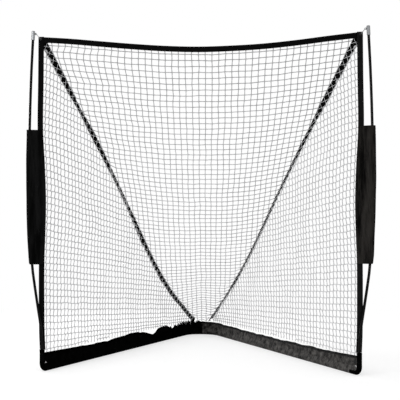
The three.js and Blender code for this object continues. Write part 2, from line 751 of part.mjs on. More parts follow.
function skirt(side, frame) {
  const pocketTop = SOCKET_TOP + POCKET_RISE;
  const fromSocket = (over) => [
    new THREE.Vector3(0, 0, pocketTop + over),
    new THREE.Vector3(0, 0, TUBE_Z),
  ];
  const whole = skirtRoute(side, fromSocket(0), [CORNER_RADIUS, REAR_RADIUS]);
  const bored = skirtRoute(side, fromSocket(CLOTH), [CORNER_RADIUS, REAR_RADIUS]);
  const flanged = skirtRoute(
    side,
    [new THREE.Vector3(FLANGE_START, 0, TUBE_Z)],
    [REAR_RADIUS],
  );
  // The sections are drawn with +x down, and y across
  const flangeTop = TUBE_Z - SKIRT_HEIGHT;
  const tent = new THREE.Shape([
    new THREE.Vector2(0, -TENT_HALF),
    new THREE.Vector2(0, TENT_HALF),
    new THREE.Vector2(-TENT_RISE, FLANGE_HALF),
    new THREE.Vector2(flangeTop, FLANGE_HALF),
    new THREE.Vector2(flangeTop, -FLANGE_HALF),
    new THREE.Vector2(-TENT_RISE, -FLANGE_HALF),
  ]);
  const hollow = new THREE.Shape([
    new THREE.Vector2(0, CLOTH - TENT_HALF),
    new THREE.Vector2(0, TENT_HALF - CLOTH),
    new THREE.Vector2(CLOTH - TENT_RISE, 0),
  ]);
  const web = new THREE.BoxGeometry(FLANGE_START + TENT_HALF, 2 * CLOTH, SKIRT_HEIGHT - TUBE_Z);
  web.translate((FLANGE_START + TENT_HALF) / 2, 0, (SKIRT_HEIGHT + TUBE_Z) / 2);
  const stake = drill(eyeletHole, DRILL_LENGTH);
  stake.translate(STAKE_ALONG, 0, STAKE_HEIGHT);
  const cloth = toSolid(rodAlong(whole, COVER_R, TUBE_SIDES))
    .add(toSolid(sweep(tent, flanged)))
    .add(toSolid(web));
  const empty = toSolid(rodAlong(bored, POCKET_R, TUBE_SIDES))
    .add(toSolid(sweep(hollow, flanged)))
    .add(toSolid(stake));
  const half = new THREE.BoxGeometry(2 * BASE_RUN, 2 * BASE_RUN, 2 * NET_TOP);
  half.translate(side * (BASE_RUN + REAR_SEAM / 2), 0, 0);
  frame.updateMatrix();
  half.applyMatrix4(frame.matrix.clone().invert());
  return fromSolid(cloth.subtract(empty).intersect(toSolid(half)));
}

// Pole sleeves. The back lies flat on the border; the front goes round the pole in soft folds.
// Each outline row is [share across from the sewn edge, share of the depth in front of the back].
const sleeveFrontShares = [
  [0, 0.14],
  [0.12, 0.27],
  [0.24, 0.36],
  [0.36, 0.54],
  [0.48, 0.66],
  [0.6, 0.82],
  [0.74, 0.98],
  [0.85, 1],
  [0.94, 0.88],
  [1, 0.58],
];
const sleeveBackShares = [
  [1, 0.3],
  [0.93, 0.05],
  [0.8, 0],
  [0.4, 0],
  [0, 0],
];

function sleeveSection(height, inset) {
  const inner = borderMiddle(height) - BORDER_WIDTH / 2;
  const outer = poleAt(height).x + SLEEVE_OUTSIDE;
  const depth = 2 * SLEEVE_HALF;
  const up = (height - SLEEVE_BOTTOM) / (SLEEVE_TOP - SLEEVE_BOTTOM);
  const fold = (share) =>
    SLEEVE_FOLD *
    Math.sin(Math.PI * (SLEEVE_FOLDS * share + SLEEVE_DRIFT * up)) *
    Math.sin(Math.PI * share);
  const outline = [];
  for (const [across, front] of sleeveFrontShares) {
    const x = inner + across * (outer - inner);
    const soft = across < SLEEVE_LOOSE_SHARE ? fold(across) : 0;
    outline.push(new THREE.Vector2(x, SLEEVE_HALF - front * depth + soft));
  }
  for (const [across, front] of sleeveBackShares) {
    const x = inner + across * (outer - inner);
    outline.push(new THREE.Vector2(x, SLEEVE_HALF - front * depth));
  }
  return inset > 0 ? insetOutline(outline, inset) : outline;
}

// Moves each corner of a closed outline in by the same distance
function insetOutline(outline, distance) {
  const count = outline.length;
  return outline.map((point, i) => {
    const before = outline[(i + count - 1) % count];
    const after = outline[(i + 1) % count];
    const a = point.clone().sub(before).normalize();
    const b = after.clone().sub(point).normalize();
    const normal = new THREE.Vector2(-(a.y + b.y), a.x + b.x).normalize();
    const stretch = Math.max(normal.dot(new THREE.Vector2(-a.y, a.x)), 1 / MITRE_LIMIT);
    return point.clone().addScaledVector(normal, distance / stretch);
  });
}

// One closed body from an outer and an inner stack of outlines with as many points each
function hollowLoft(outerRings, innerRings) {
  const size = outerRings[0].length;
  const places = [];
  for (const rings of [outerRings, innerRings]) {
    for (const ring of rings) {
      for (const p of ring) places.push(p.x, p.y, p.z);
    }
  }
  const levels = outerRings.length;
  const at = (inner, level, k) => (inner * levels + level) * size + (k % size);
  const faces = [];
  const quad = (a, b, c, d) => faces.push(a, b, c, a, c, d);
  for (let k = 0; k < size; k += 1) {
    for (let i = 0; i < levels - 1; i += 1) {
      quad(at(0, i, k), at(0, i, k + 1), at(0, i + 1, k + 1), at(0, i + 1, k));
      quad(at(1, i, k + 1), at(1, i, k), at(1, i + 1, k), at(1, i + 1, k + 1));
    }
    const top = levels - 1;
    quad(at(0, top, k), at(0, top, k + 1), at(1, top, k + 1), at(1, top, k));
    quad(at(0, 0, k + 1), at(0, 0, k), at(1, 0, k), at(1, 0, k + 1));
  }
  const geometry = new THREE.BufferGeometry();
  geometry.setAttribute("position", new THREE.Float32BufferAttribute(places, 3));
  geometry.setIndex(faces);
  geometry.computeVertexNormals();
  return geometry;
}

// One closed body from a stack of outlines
function solidLoft(rings) {
  const size = rings[0].length;
  const places = rings.flat().flatMap((p) => [p.x, p.y, p.z]);
  const at = (level, k) => level * size + (k % size);
  const faces = [];
  const last = rings.length - 1;
  for (let i = 0; i < last; i += 1) {
    for (let k = 0; k < size; k += 1) {
      faces.push(at(i, k), at(i, k + 1), at(i + 1, k + 1));
      faces.push(at(i, k), at(i + 1, k + 1), at(i + 1, k));
    }
  }
  for (let k = 1; k < size - 1; k += 1) {
    faces.push(at(0, 0), at(0, k + 1), at(0, k));
    faces.push(at(last, 0), at(last, k), at(last, k + 1));
  }
  const geometry = new THREE.BufferGeometry();
  geometry.setAttribute("position", new THREE.Float32BufferAttribute(places, 3));
  geometry.setIndex(faces);
  geometry.computeVertexNormals();
  return geometry;
}

function poleSleeve(side) {
  const stack = (inset) => {
    const rings = [];
    for (let i = 0; i <= SLEEVE_STEPS; i += 1) {
      const height = SLEEVE_BOTTOM + ((SLEEVE_TOP - SLEEVE_BOTTOM) * i) / SLEEVE_STEPS;
      const ring = sleeveSection(height, inset).map(
        (p) => new THREE.Vector3(side * p.x, FRONT_Y + p.y, height),
      );
      rings.push(side < 0 ? ring.reverse() : ring);
    }
    return rings;
  };
  return hollowLoft(stack(0), stack(CLOTH));
}

// Net seams: each runs from a top corner down to the rear, and hangs a little below straight.
// The sag's shape is [share of the way, share of the sag].
const seamSagShares = [
  [0, 0],
  [0.15, 0.04],
  [0.3, 0.12],
  [0.45, 0.38],
  [0.58, 0.8],
  [0.68, 1],
  [0.8, 0.86],
  [0.92, 0.36],
  [1, 0],
];

// A smooth function through a list of [share of the way, share of the height]
function smoothThrough(shares) {
  const curve = new THREE.SplineCurve(shares.map(([t, s]) => new THREE.Vector2(t, s)));
  const table = curve.getPoints(CURVE_SAMPLES);
  return (t) => {
    const i = Math.max(
      1,
      table.findIndex((p) => p.x >= t),
    );
    const [a, b] = [table[i - 1], table[i]];
    return a.y + ((t - a.x) * (b.y - a.y)) / (b.x - a.x);
  };
}

const seamSagAt = smoothThrough(seamSagShares);

const netFoot = SKIRT_HEIGHT + NET_LIFT;
const seamTopZ = NET_TOP - BORDER_WIDTH;
const seamTopX = borderMiddle(seamTopZ) - BORDER_WIDTH / 2;

// A point on the right or left seam, t from 0 at the mouth to 1 at the rear
const seamPoint = (side, t) =>
  new THREE.Vector3(
    side * (seamTopX + t * (REAR_HALF - seamTopX)),
    FRONT_Y + NET_FRONT + t * (BASE_RUN - REAR_SET_IN - NET_FRONT),
    seamTopZ + t * (netFoot - seamTopZ) - STRAP_SAG[sideName(side)] * seamSagAt(t),
  );

// The skirt's upper edge, t from 0 at the mouth to 1 where the seam ends
function skirtEdge(side, t) {
  const end = legPoint(side, LEG_LENGTH, netFoot);
  const start = legPoint(side, NET_FRONT / Math.cos(LEG_ANGLE), netFoot);
  if (t <= 1 - REAR_ARC_SHARE) {
    return start.lerp(end, t / (1 - REAR_ARC_SHARE));
  }
  const turn = Math.PI / 2 - LEG_ANGLE - Math.asin(REAR_HALF / (REAR_RADIUS - REAR_SET_IN));
  const angle = LEG_ANGLE + (turn * (t - 1 + REAR_ARC_SHARE)) / REAR_ARC_SHARE;
  return new THREE.Vector3(
    side * REAR_RADIUS * Math.cos(angle),
    REAR_Y - REAR_RADIUS * (1 - Math.sin(angle)),
    netFoot,
  );
}

// Side panel: upright lines between the skirt's edge and the seam. Its front follows the border.
function sidePanelPoint(side, t, up) {
  const place = skirtEdge(side, t).lerp(seamPoint(side, t), up);
  const frontUp = (place.z - netFoot) / (seamTopZ - netFoot);
  const front = skirtEdge(side, 0).lerp(seamPoint(side, 0), frontUp);
  const drawn = side * (borderMiddle(place.z) - BORDER_WIDTH / 4) - front.x;
  const hold = (1 - t) ** 2 * Math.sin(Math.PI * THREE.MathUtils.clamp(frontUp, 0, 1));
  place.x += drawn * hold;
  return place;
}

// Back panel: from the top border's lower edge down to the rear, between the two seams.
// It hangs deepest nearer the mouth: [share of the way, share of the sag].
const netSagShares = [
  [0, 0],
  [0.15, 0.5],
  [0.3, 0.89],
  [0.4, 1],
  [0.5, 0.94],
  [0.65, 0.58],
  [0.8, 0.2],
  [0.9, 0.06],
  [1, 0],
];
const netSagAt = smoothThrough(netSagShares);

function backPanelPoint(across, t) {
  const left = seamPoint(-1, t);
  const right = seamPoint(1, t);
  const place = left.lerp(right, (across + 1) / 2);
  const drop = (1 - across ** 2) * (1 - t);
  const hang = NET_SAG * netSagAt(t) * (1 - across ** 2) * Math.SQRT1_2;
  place.z -= TOP_SAG * drop * (seamTopX / TOP_HALF) ** 2 + hang;
  place.y -= hang;
  return place;
}

// A lattice is drawn flat, cell by cell, each cell round its own gap, then bent to a surface.
// Here is what is left of a convex polygon on the right of the line from a to b.
function clipped(polygon, [a, b]) {
  const past = (p) => (b.x - a.x) * (p.y - a.y) - (b.y - a.y) * (p.x - a.x);
  const kept = [];
  polygon.forEach((p, i) => {
    const q = polygon[(i + 1) % polygon.length];
    const [here, next] = [past(p), past(q)];
    if (here <= 0) kept.push(p);
    if (here <= 0 !== next <= 0) kept.push(p.clone().lerp(q, here / (here - next)));
  });
  return kept.filter((p, i) => p.distanceTo(kept.at(i - 1)) > CLEARANCE / 10);
}

const boxCell = (x0, x1, y0, y1) => [
  new THREE.Vector2(x0, y0),
  new THREE.Vector2(x1, y0),
  new THREE.Vector2(x1, y1),
  new THREE.Vector2(x0, y1),
];

// Triangles between a convex polygon and a smaller one inside it, both anticlockwise
function ringTriangles(outer, inner) {
  const centre = new THREE.Vector2();
  inner.forEach((p) => centre.addScaledVector(p, 1 / inner.length));
  const fromFirst = (loop) => {
    const angles = loop.map((p) => p.clone().sub(centre).angle());
    const first = angles.indexOf(Math.min(...angles));
    return loop.map((_, i) => {
      const at = (first + i) % loop.length;
      return { point: loop[at], angle: angles[at] };
    });
  };
  const wide = fromFirst(outer);
  const small = fromFirst(inner);
  const angleAt = (loop, i) => loop[i % loop.length].angle + (i < loop.length ? 0 : 2 * Math.PI);
  const pointAt = (loop, i) => loop[i % loop.length].point;
  const triangles = [];
  let [i, k] = [0, 0];
  while (i < wide.length || k < small.length) {
    const outside = pointAt(wide, i);
    const inside = pointAt(small, k);
    const outerNext = i < wide.length && angleAt(wide, i + 1) <= angleAt(small, k + 1);
    if (outerNext || k >= small.length) {
      i += 1;
      triangles.push([outside, pointAt(wide, i), inside]);
    } else {
      k += 1;
      triangles.push([outside, pointAt(small, k), inside]);
    }
  }
  return triangles;
}

// A closed body of even thickness from flat triangles, with each corner put in its place
function thickened(triangles, thickness, place) {
  const keys = new Map();
  const corners = [];
  const grain = CLEARANCE / 10;
  const cornerOf = (p) => {
    const key = `${Math.round(p.x / grain)}_${Math.round(p.y / grain)}`;
    if (!keys.has(key)) {
      keys.set(key, corners.length);
      corners.push(p);
    }
    return keys.get(key);
  };
  const faces = triangles
    .map((triangle) => triangle.map(cornerOf))
    .filter(([a, b, c]) => a !== b && b !== c && c !== a);
  const edges = new Set(faces.flatMap(([a, b, c]) => [`${a}_${b}`, `${b}_${c}`, `${c}_${a}`]));
  const count = corners.length;
  const indices = faces.flatMap(([a, b, c]) => [a, b, c, c + count, b + count, a + count]);
  for (const edge of edges) {
    const [a, b] = edge.split("_").map(Number);
    if (!edges.has(`${b}_${a}`)) {
      indices.push(b, a, a + count, b, a + count, b + count);
    }
  }
  const step = thickness / 10;
  const places = [];
  for (const level of [thickness / 2, -thickness / 2]) {
    for (const { x, y } of corners) {
      const here = place(x, y);
      const right = place(x + step, y).sub(here);
      const up = place(x, y + step).sub(here);
      const normal = right.cross(up).normalize();
      places.push(...here.addScaledVector(normal, level).toArray());
    }
  }
  const geometry = new THREE.BufferGeometry();
  geometry.setAttribute("position", new THREE.Float32BufferAttribute(places, 3));
  geometry.setIndex(indices);
  geometry.computeVertexNormals();
  return geometry;
}

// Each cell comes with the lines that bound the panel and the lines that bound its gaps
function lattice(cells, place) {
  const least = GAP_LEAST_SHARE * (GAP - TWINE) ** 2;
  const triangles = [];
  let gaps = 0;
  for (const { box, panel, opening, trim } of cells) {
    const outer = panel.reduce(clipped, boxCell(...box));
    if (outer.length < 3) continue;
    const [x0, x1, y0, y1] = box;
    const inset = boxCell(x0 + trim.x0, x1 - trim.x1, y0 + trim.y0, y1 - trim.y1);
    const gap = opening.reduce(clipped, inset);
    if (gap.length > 2 && THREE.ShapeUtils.area(gap) > least) {
      triangles.push(...ringTriangles(outer, gap));
      gaps += 1;
    } else {
      for (let i = 2; i < outer.length; i += 1) {
        triangles.push([outer[0], outer[i - 1], outer[i]]);
      }
    }
  }
  return { sheet: thickened(triangles, TWINE, place), gaps };
}

const SIDE_RUN = Math.hypot(seamTopX - REAR_HALF, BASE_RUN - REAR_SET_IN - NET_FRONT);

function sidePanel(side) {
  const columns = Math.round(SIDE_RUN / GAP);
  const pitch = SIDE_RUN / columns;
  const bar = TWINE / 2;
  const heightAt = (x) => seamPoint(side, x / SIDE_RUN).z - netFoot;
  const topAt = (x) => heightAt(x) - NET_SEAM_BACK;
  let tail = SIDE_RUN;
  while (topAt(tail) < NET_TAIL) tail -= TWINE;
  const line = (i) => Math.min(i * pitch, tail);
  const cells = [];
  for (let i = 0; i < columns; i += 1) {
    const [a, b] = [line(i), line(i + 1)];
    const ridge = (drop) => [
      new THREE.Vector2(a, topAt(a) - drop),
      new THREE.Vector2(b, topAt(b) - drop),
    ];
    for (let y = 0; y < topAt(a); y += GAP) {
      cells.push({
        box: [a, b, y, y + GAP],
        panel: [ridge(0)],
        opening: [ridge(NET_EDGE)],
        trim: { x0: i === 0 ? NET_EDGE : bar, x1: bar, y0: y === 0 ? NET_EDGE : bar, y1: bar },
      });
    }
  }
  const place = (x, y) => sidePanelPoint(side, x / SIDE_RUN, y / heightAt(x));
  return lattice(cells, place);
}

function backPanelLength() {
  let length = 0;
  let last = backPanelPoint(0, 0);
  for (let i = 1; i <= CURVE_SAMPLES; i += 1) {
    const next = backPanelPoint(0, i / CURVE_SAMPLES);
    length += next.distanceTo(last);
    last = next;
  }
  return length;
}

function backPanel() {
  const length = backPanelLength();
  const rows = Math.round(length / GAP);
  const pitch = length / rows;
  const bar = TWINE / 2;
  const halfAt = (y) => REAR_HALF + (y / length) * (seamTopX - REAR_HALF);
  const edge = (inset) => {
    const at = (side, y) => new THREE.Vector2(side * (halfAt(y) - inset), y);
    return [
      [at(1, length), at(1, 0)],
      [at(-1, 0), at(-1, length)],
    ];
  };
  const panel = edge(NET_SEAM_BACK);
  const opening = edge(NET_SEAM_BACK + NET_EDGE);
  const columns = Math.ceil(seamTopX / GAP);
  const cells = [];
  for (let i = 0; i < rows; i += 1) {
    const trim = {
      x0: bar,
      x1: bar,
      y0: i === 0 ? NET_EDGE : bar,
      y1: i === rows - 1 ? NET_EDGE : bar,
    };
    for (let k = -columns; k < columns; k += 1) {
      const box = [k * GAP, (k + 1) * GAP, i * pitch, (i + 1) * pitch];
      cells.push({ box, panel, opening, trim });
    }
  }
  const place = (x, y) => backPanelPoint(x / halfAt(y), 1 - y / length);
  return lattice(cells, place);
}

// Webbing straps along the seams, outside the netting
const STRAP_START = -STRAP_REACH / (BASE_RUN - REAR_SET_IN - NET_FRONT);

// The way out between the two panels that meet at a seam
function seamOut(side, t) {
  const down = sidePanelPoint(side, t, 1 - NEAR_SHARE).sub(sidePanelPoint(side, t, 1)).normalize();
  const inward = backPanelPoint(side * (1 - NEAR_SHARE), t).sub(seamPoint(side, t)).normalize();
  return down.add(inward).negate();
}

function seamStrap(side) {
  const rings = [];
  for (let i = 0; i <= STRAP_STEPS; i += 1) {
    const t = THREE.MathUtils.lerp(STRAP_START, STRAP_END_SHARE, i / STRAP_STEPS);
    const ahead = seamPoint(side, t + NEAR_SHARE);
    const along = ahead.sub(seamPoint(side, t)).normalize();
    const out = seamOut(side, t);
    out.addScaledVector(along, -out.dot(along)).normalize();
    const across = along.clone().cross(out).normalize();
    const middle = seamPoint(side, t).addScaledVector(out, STRAP_LIFT);
    const corner = (a, o) =>
      middle
        .clone()
        .addScaledVector(across, (a * STRAP_WIDTH) / 2)
        .addScaledVector(out, (o * STRAP_THICKNESS) / 2);
    rings.push([corner(-1, -1), corner(-1, 1), corner(1, 1), corner(1, -1)]);
  }
  return solidLoft(rings);
}

// Assembly
const goal = new THREE.Group();

goal.add(named("rear_bend_tube", rearBendTube(), PAINTED_TUBE));
goal.add(named("top_border", topBorder(), WEBBING_BLACK));
const back = backPanel();
goal.add(named("net_back", back.sheet, NET_WHITE));
let gapCount = back.gaps;

for (const side of SIDES) {
  const name = sideName(side);
  const leg = legGroup(side);
  leg.add(named(`front_tube_${name}`, frontTube(), PAINTED_TUBE));
  leg.add(named(`mid_tube_${name}`, midTube(), PAINTED_TUBE));
  const stake = named(`stake_eyelet_${name}`, eyeletRing(2 * FLANGE_HALF), EYELET_STEEL);
  stake.rotation.z = Math.PI / 2;
  stake.position.set(STAKE_ALONG, 0, STAKE_HEIGHT);
  leg.add(stake);
  leg.add(named(`skirt_${name}`, skirt(side, leg), CLOTH_BLACK));
  for (const [where, along] of Object.entries(buttonPlaces)) {
    const joint = new THREE.Group();
    joint.position.set(along, 0, TUBE_Z);
    joint.rotation.z = where === "front" ? 0 : Math.PI;
    joint.add(named(`snap_button_${where}_${name}`, snapButton(), BUTTON_STEEL));
    joint.add(named(`spring_clip_${where}_${name}`, springClip(), SPRING_STEEL));
    leg.add(joint);
  }
  goal.add(leg);

  leg.add(named(`socket_bush_${name}`, socketBush(), PLASTIC_BLACK));
  const middle = CLEARANCE / 2;
  const lower = polePipe(side, POLE_FOOT, POLE_JOINT - middle, LOWER_STEPS);
  goal.add(named(`pole_lower_${name}`, lower, FIBREGLASS));
  const upper = polePipe(side, POLE_JOINT + middle, POLE_TOP, UPPER_STEPS);
  goal.add(named(`pole_upper_${name}`, upper, FIBREGLASS));
  goal.add(named(`pole_ferrule_${name}`, poleFerrule(side), SPRING_STEEL));

  const cap = capGroup(side);
  cap.add(named(`tip_cap_${name}`, tipCap(side), POLISHED_STEEL));
  cap.add(named(`tip_plug_${name}`, tipPlug(), PLASTIC_BLACK));
  goal.add(cap);
  goal.add(named(`corner_link_${name}`, cornerLink(side), SPRING_STEEL));
  const corner = named(`corner_eyelet_${name}`, eyeletRing(BORDER_THICKNESS), EYELET_STEEL);
  corner.rotation.z = Math.PI / 2;
  corner.position.set(side * eyelet.x, eyelet.y, eyelet.z);
  goal.add(corner);

  goal.add(named(`side_border_${name}`, sideBorder(side), WEBBING_BLACK));
  goal.add(named(`pole_sleeve_${name}`, poleSleeve(side), CLOTH_BLACK));
  goal.add(named(`seam_strap_${name}`, seamStrap(side), WEBBING_BLACK));
  const panel = sidePanel(side);
  gapCount += panel.gaps;
  goal.add(named(`net_side_${name}`, panel.sheet, NET_WHITE));
}
console.log(`netting gaps: ${gapCount}`);

export default goal;
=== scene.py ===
# Looks for a portable lacrosse goal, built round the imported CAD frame.
# Metres, in the frame of the CAD model: +X right, +Y into the goal, +Z up.
import math
import random

import bmesh
import bpy
import numpy as np
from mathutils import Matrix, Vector


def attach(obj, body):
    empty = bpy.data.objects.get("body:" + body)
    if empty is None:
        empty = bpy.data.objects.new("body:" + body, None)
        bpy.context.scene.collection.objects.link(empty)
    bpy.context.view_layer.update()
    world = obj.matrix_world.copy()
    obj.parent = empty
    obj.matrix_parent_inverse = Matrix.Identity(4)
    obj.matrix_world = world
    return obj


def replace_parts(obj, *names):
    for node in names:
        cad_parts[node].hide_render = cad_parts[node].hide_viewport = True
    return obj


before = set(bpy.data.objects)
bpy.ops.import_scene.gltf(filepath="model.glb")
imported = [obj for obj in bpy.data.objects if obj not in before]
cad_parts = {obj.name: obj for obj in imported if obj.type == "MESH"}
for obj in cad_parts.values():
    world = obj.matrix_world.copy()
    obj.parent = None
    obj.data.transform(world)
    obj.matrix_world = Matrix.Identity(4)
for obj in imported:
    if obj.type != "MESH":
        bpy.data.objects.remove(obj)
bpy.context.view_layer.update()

# Sizes of the CAD model
BASE_HALF, TOP_HALF, NET_TOP, TOP_SAG, BASE_RUN = 0.895, 0.932, 1.937, 0.071, 1.953
REAR_RADIUS, CORNER_RADIUS, COVER_R = 0.143, 0.038, 0.0142
CLEARANCE, CLOTH = 0.0003, 0.0012
POLE_BOW, POLE_FREE, TIP_BESIDE_NET, TIP_ABOVE_NET = 0.050, 0.122, 0.028, 0.009
BORDER_WIDTH, BORDER_THICKNESS, BORDER_PULL, BORDER_FOOT = 0.033, 0.003, 0.008, 0.1263
SLEEVE_HALF, SLEEVE_OUTSIDE = 0.0116, 0.018
SLEEVE_BOTTOM, SLEEVE_TOP = 0.622, 1.400
NET_FOOT, NET_SAG, REAR_HALF, REAR_SET_IN, REAR_ARC_SHARE = 0.1099, 0.127, 0.062, 0.026, 0.06
STRAP_LIFT, STRAP_SAG = 0.0065, {-1: 0.125, 1: 0.075}
POCKET_TOP = 0.126
TWINE_R = 0.0025

# Sizes of the looks alone
MESH = 0.0381  # one square of the netting
FIRST_ROW = 0.0175  # from the top border down to the first row
FIRST_COLUMN_SHARE = 0.72  # from the mouth to the first upright of a side panel, in squares
STRAP_FACE = 0.033  # the straps' width, with the folded edges that the CAD model leaves out
STRAP_THICKNESS = 0.0018
STRAP_SPREAD = 0.25  # how much wider, as a share, the straps are at the top corners
STRAP_NARROWS = 0.03  # most of that is lost in this share of the way down
STRAP_TIE_SHARE = 0.49  # of the face, from a strap's middle out to where the strands are tied
STANDS_ON_EDGE = 0.86  # sine of the twist from which a strap counts as standing on edge
LACING_PITCH = 0.054  # along a strap, from one crossing of its lacing to the next
LACING_HOLD = 0.08  # share of the pitch for which the lacing keeps to one edge of the strap
LACING_STRAY = 0.12  # of the pitch, the most that a crossing strays
LACING_INSET = (-0.003, 0.001)  # least and most that it turns inside the strap's edge
LACING_R = TWINE_R * 0.5
SEAM_END = 0.995  # no strand is tied further down a seam than this share
HEM = 0.016
SLEEVE_LOW = {-1: 0.010, 1: 0.0}  # the left sleeve has slipped down a little

# Places that follow from the sizes above
FRONT_Y, REAR_Y = -BASE_RUN / 2, BASE_RUN / 2
TUBE_Z = COVER_R * math.cos(math.pi / 12)
POLE_TOP = NET_TOP + TIP_ABOVE_NET
BORDER_Y = SLEEVE_HALF + CLEARANCE + BORDER_THICKNESS / 2
NET_FRONT = SLEEVE_HALF + CLEARANCE + BORDER_THICKNESS + TWINE_R
BENT_RUN = BASE_RUN - REAR_RADIUS
BENT_REACH = math.hypot(BASE_HALF, BENT_RUN)
LEG_ANGLE = math.atan2(BASE_HALF, BENT_RUN) - math.asin(REAR_RADIUS / BENT_REACH)
LEG_LENGTH = math.sqrt(BENT_REACH**2 - REAR_RADIUS**2)
SKIRT_RUN = LEG_LENGTH + REAR_RADIUS * (math.pi / 2 - LEG_ANGLE)
SIDES = {-1: "left", 1: "right"}
X, Y, Z = np.eye(3)


# Curves shared with the CAD model
def smooth_through(shares, samples=400):
    """The smooth curve through [share along, share of the height] pairs."""
    p = np.array(shares, float)
    n = len(p) - 1
    table = []
    for i in range(samples + 1):
        at = n * i / samples
        k = min(int(at), n - 1)
        w = at - k
        a, b, c, d = p[max(k - 1, 0)], p[k], p[k + 1], p[min(k + 2, n)]
        v0, v1 = (c - a) / 2, (d - b) / 2
        cubic = (2 * b - 2 * c + v0 + v1) * w**3 + (3 * c - 3 * b - 2 * v0 - v1) * w**2
        table.append(cubic + v0 * w + b)
    table = np.array(table)
    return lambda t: float(np.interp(t, table[:, 0], table[:, 1]))


pole_bow = smooth_through(
    [[0, 0], [0.045, -0.01], [0.1, 0.2], [0.17, 0.52], [0.27, 0.9], [0.47, 1], [0.68, 0.76],
     [0.86, 0.39], [1, 0]]
)
border_pull = smooth_through(
    [[0, 0], [0.06, -0.5], [0.16, -0.6], [0.28, -0.4], [0.37, 0.4], [0.47, 0.95], [0.58, 0.3],
     [0.7, -0.95], [0.86, -0.4], [1, 0]]
)
seam_sag = smooth_through(
    [[0, 0], [0.15, 0.04], [0.3, 0.12], [0.45, 0.38], [0.58, 0.8], [0.68, 1], [0.8, 0.86],
     [0.92, 0.36], [1, 0]]
)
net_sag = smooth_through(
    [[0, 0], [0.15, 0.5], [0.3, 0.89], [0.4, 1], [0.5, 0.94], [0.65, 0.58], [0.8, 0.2],
     [0.9, 0.06], [1, 0]]
)

# The CAD model's top border is a parabola. The real one hangs straighter near its corners:
# [share of the half width, share of the sag]
border_sag = smooth_through(
    [[-1, 0], [-0.8, 0.19], [-0.6, 0.45], [-0.4, 0.7], [-0.2, 0.9], [0, 1], [0.2, 0.955],
     [0.4, 0.825], [0.6, 0.58], [0.8, 0.27], [1, 0]]
)


def clamp(x, low=0.0, high=1.0):
    return max(low, min(high, x))


def smooth(x):
    x = clamp(x)
    return x * x * (3 - 2 * x)


def unit(v):
    return v / max(float(np.linalg.norm(v)), 1e-12)


def pole_x(z):
    up = clamp((z - POLE_FREE) / (POLE_TOP - POLE_FREE))
    return BASE_HALF + (TOP_HALF + TIP_BESIDE_NET - BASE_HALF) * up + POLE_BOW * pole_bow(up)


def border_x(z):
    up = clamp((z - BORDER_FOOT) / (NET_TOP - BORDER_FOOT))
    return BASE_HALF + up * (TOP_HALF - BORDER_WIDTH / 2 - BASE_HALF) - BORDER_PULL * border_pull(up)


def top_z(x):
    return NET_TOP - TOP_SAG * border_sag(x / TOP_HALF)


SEAM_TOP_Z = NET_TOP - BORDER_WIDTH
SEAM_TOP_X = border_x(SEAM_TOP_Z) - BORDER_WIDTH / 2
SEAM_RUN_Y = BASE_RUN - REAR_SET_IN - NET_FRONT
SIDE_RUN = math.hypot(SEAM_TOP_X - REAR_HALF, SEAM_RUN_Y)


def leg_point(side, along, z):
    x = side * (BASE_HALF - along * math.sin(LEG_ANGLE))
    return np.array([x, FRONT_Y + along * math.cos(LEG_ANGLE), z])


def seam_half(t):
    return SEAM_TOP_X + t * (REAR_HALF - SEAM_TOP_X)


def seam_point(side, t):
    z = SEAM_TOP_Z + t * (NET_FOOT - SEAM_TOP_Z) - STRAP_SAG[side] * seam_sag(t)
    return np.array([side * seam_half(t), FRONT_Y + NET_FRONT + t * SEAM_RUN_Y, z])


def skirt_edge(side, t):
    if t <= 1 - REAR_ARC_SHARE:
        start = leg_point(side, NET_FRONT / math.cos(LEG_ANGLE), NET_FOOT)
        end = leg_point(side, LEG_LENGTH, NET_FOOT)
        return start + (end - start) * t / (1 - REAR_ARC_SHARE)
    turn = math.pi / 2 - LEG_ANGLE - math.asin(REAR_HALF / (REAR_RADIUS - REAR_SET_IN))
    angle = LEG_ANGLE + turn * (t - 1 + REAR_ARC_SHARE) / REAR_ARC_SHARE
    y = REAR_Y - REAR_RADIUS * (1 - math.sin(angle))
    return np.array([side * REAR_RADIUS * math.cos(angle), y, NET_FOOT])


def side_panel(side, t, up):
    foot, top = skirt_edge(side, t), seam_point(side, t)
    place = foot + (top - foot) * up
    front_up = (place[2] - NET_FOOT) / (SEAM_TOP_Z - NET_FOOT)
    front = skirt_edge(side, 0) + (seam_point(side, 0) - skirt_edge(side, 0)) * front_up
    drawn = side * (border_x(place[2]) - BORDER_WIDTH / 4) - front[0]
    place[0] += drawn * (1 - t) ** 2 * math.sin(math.pi * clamp(front_up))
    return place


def back_panel(across, t):
    left, right = seam_point(-1, t), seam_point(1, t)
    place = left + (right - left) * (across + 1) / 2
    hang = NET_SAG * net_sag(t) * (1 - abs(across) ** 1.5) * math.sqrt(0.5)
    corner = top_z(math.copysign(SEAM_TOP_X, across))
    place[2] -= max(corner - top_z(across * SEAM_TOP_X), 0.0) * (1 - t) + hang
    place[1] -= hang
    return place


def seam_frame(side, t, near=1e-3):
    """Directions along a seam, across its strap, and out between the two panels."""
    t = max(t, near)
    along = unit(seam_point(side, t + near) - seam_point(side, t))
    down = unit(side_panel(side, t, 1 - near) - side_panel(side, t, 1))
    inward = unit(back_panel(side * (1 - near), t) - seam_point(side, t))
    out = -(down + inward)
    out = unit(out - along * float(out @ along))
    return along, np.cross(along, out), out


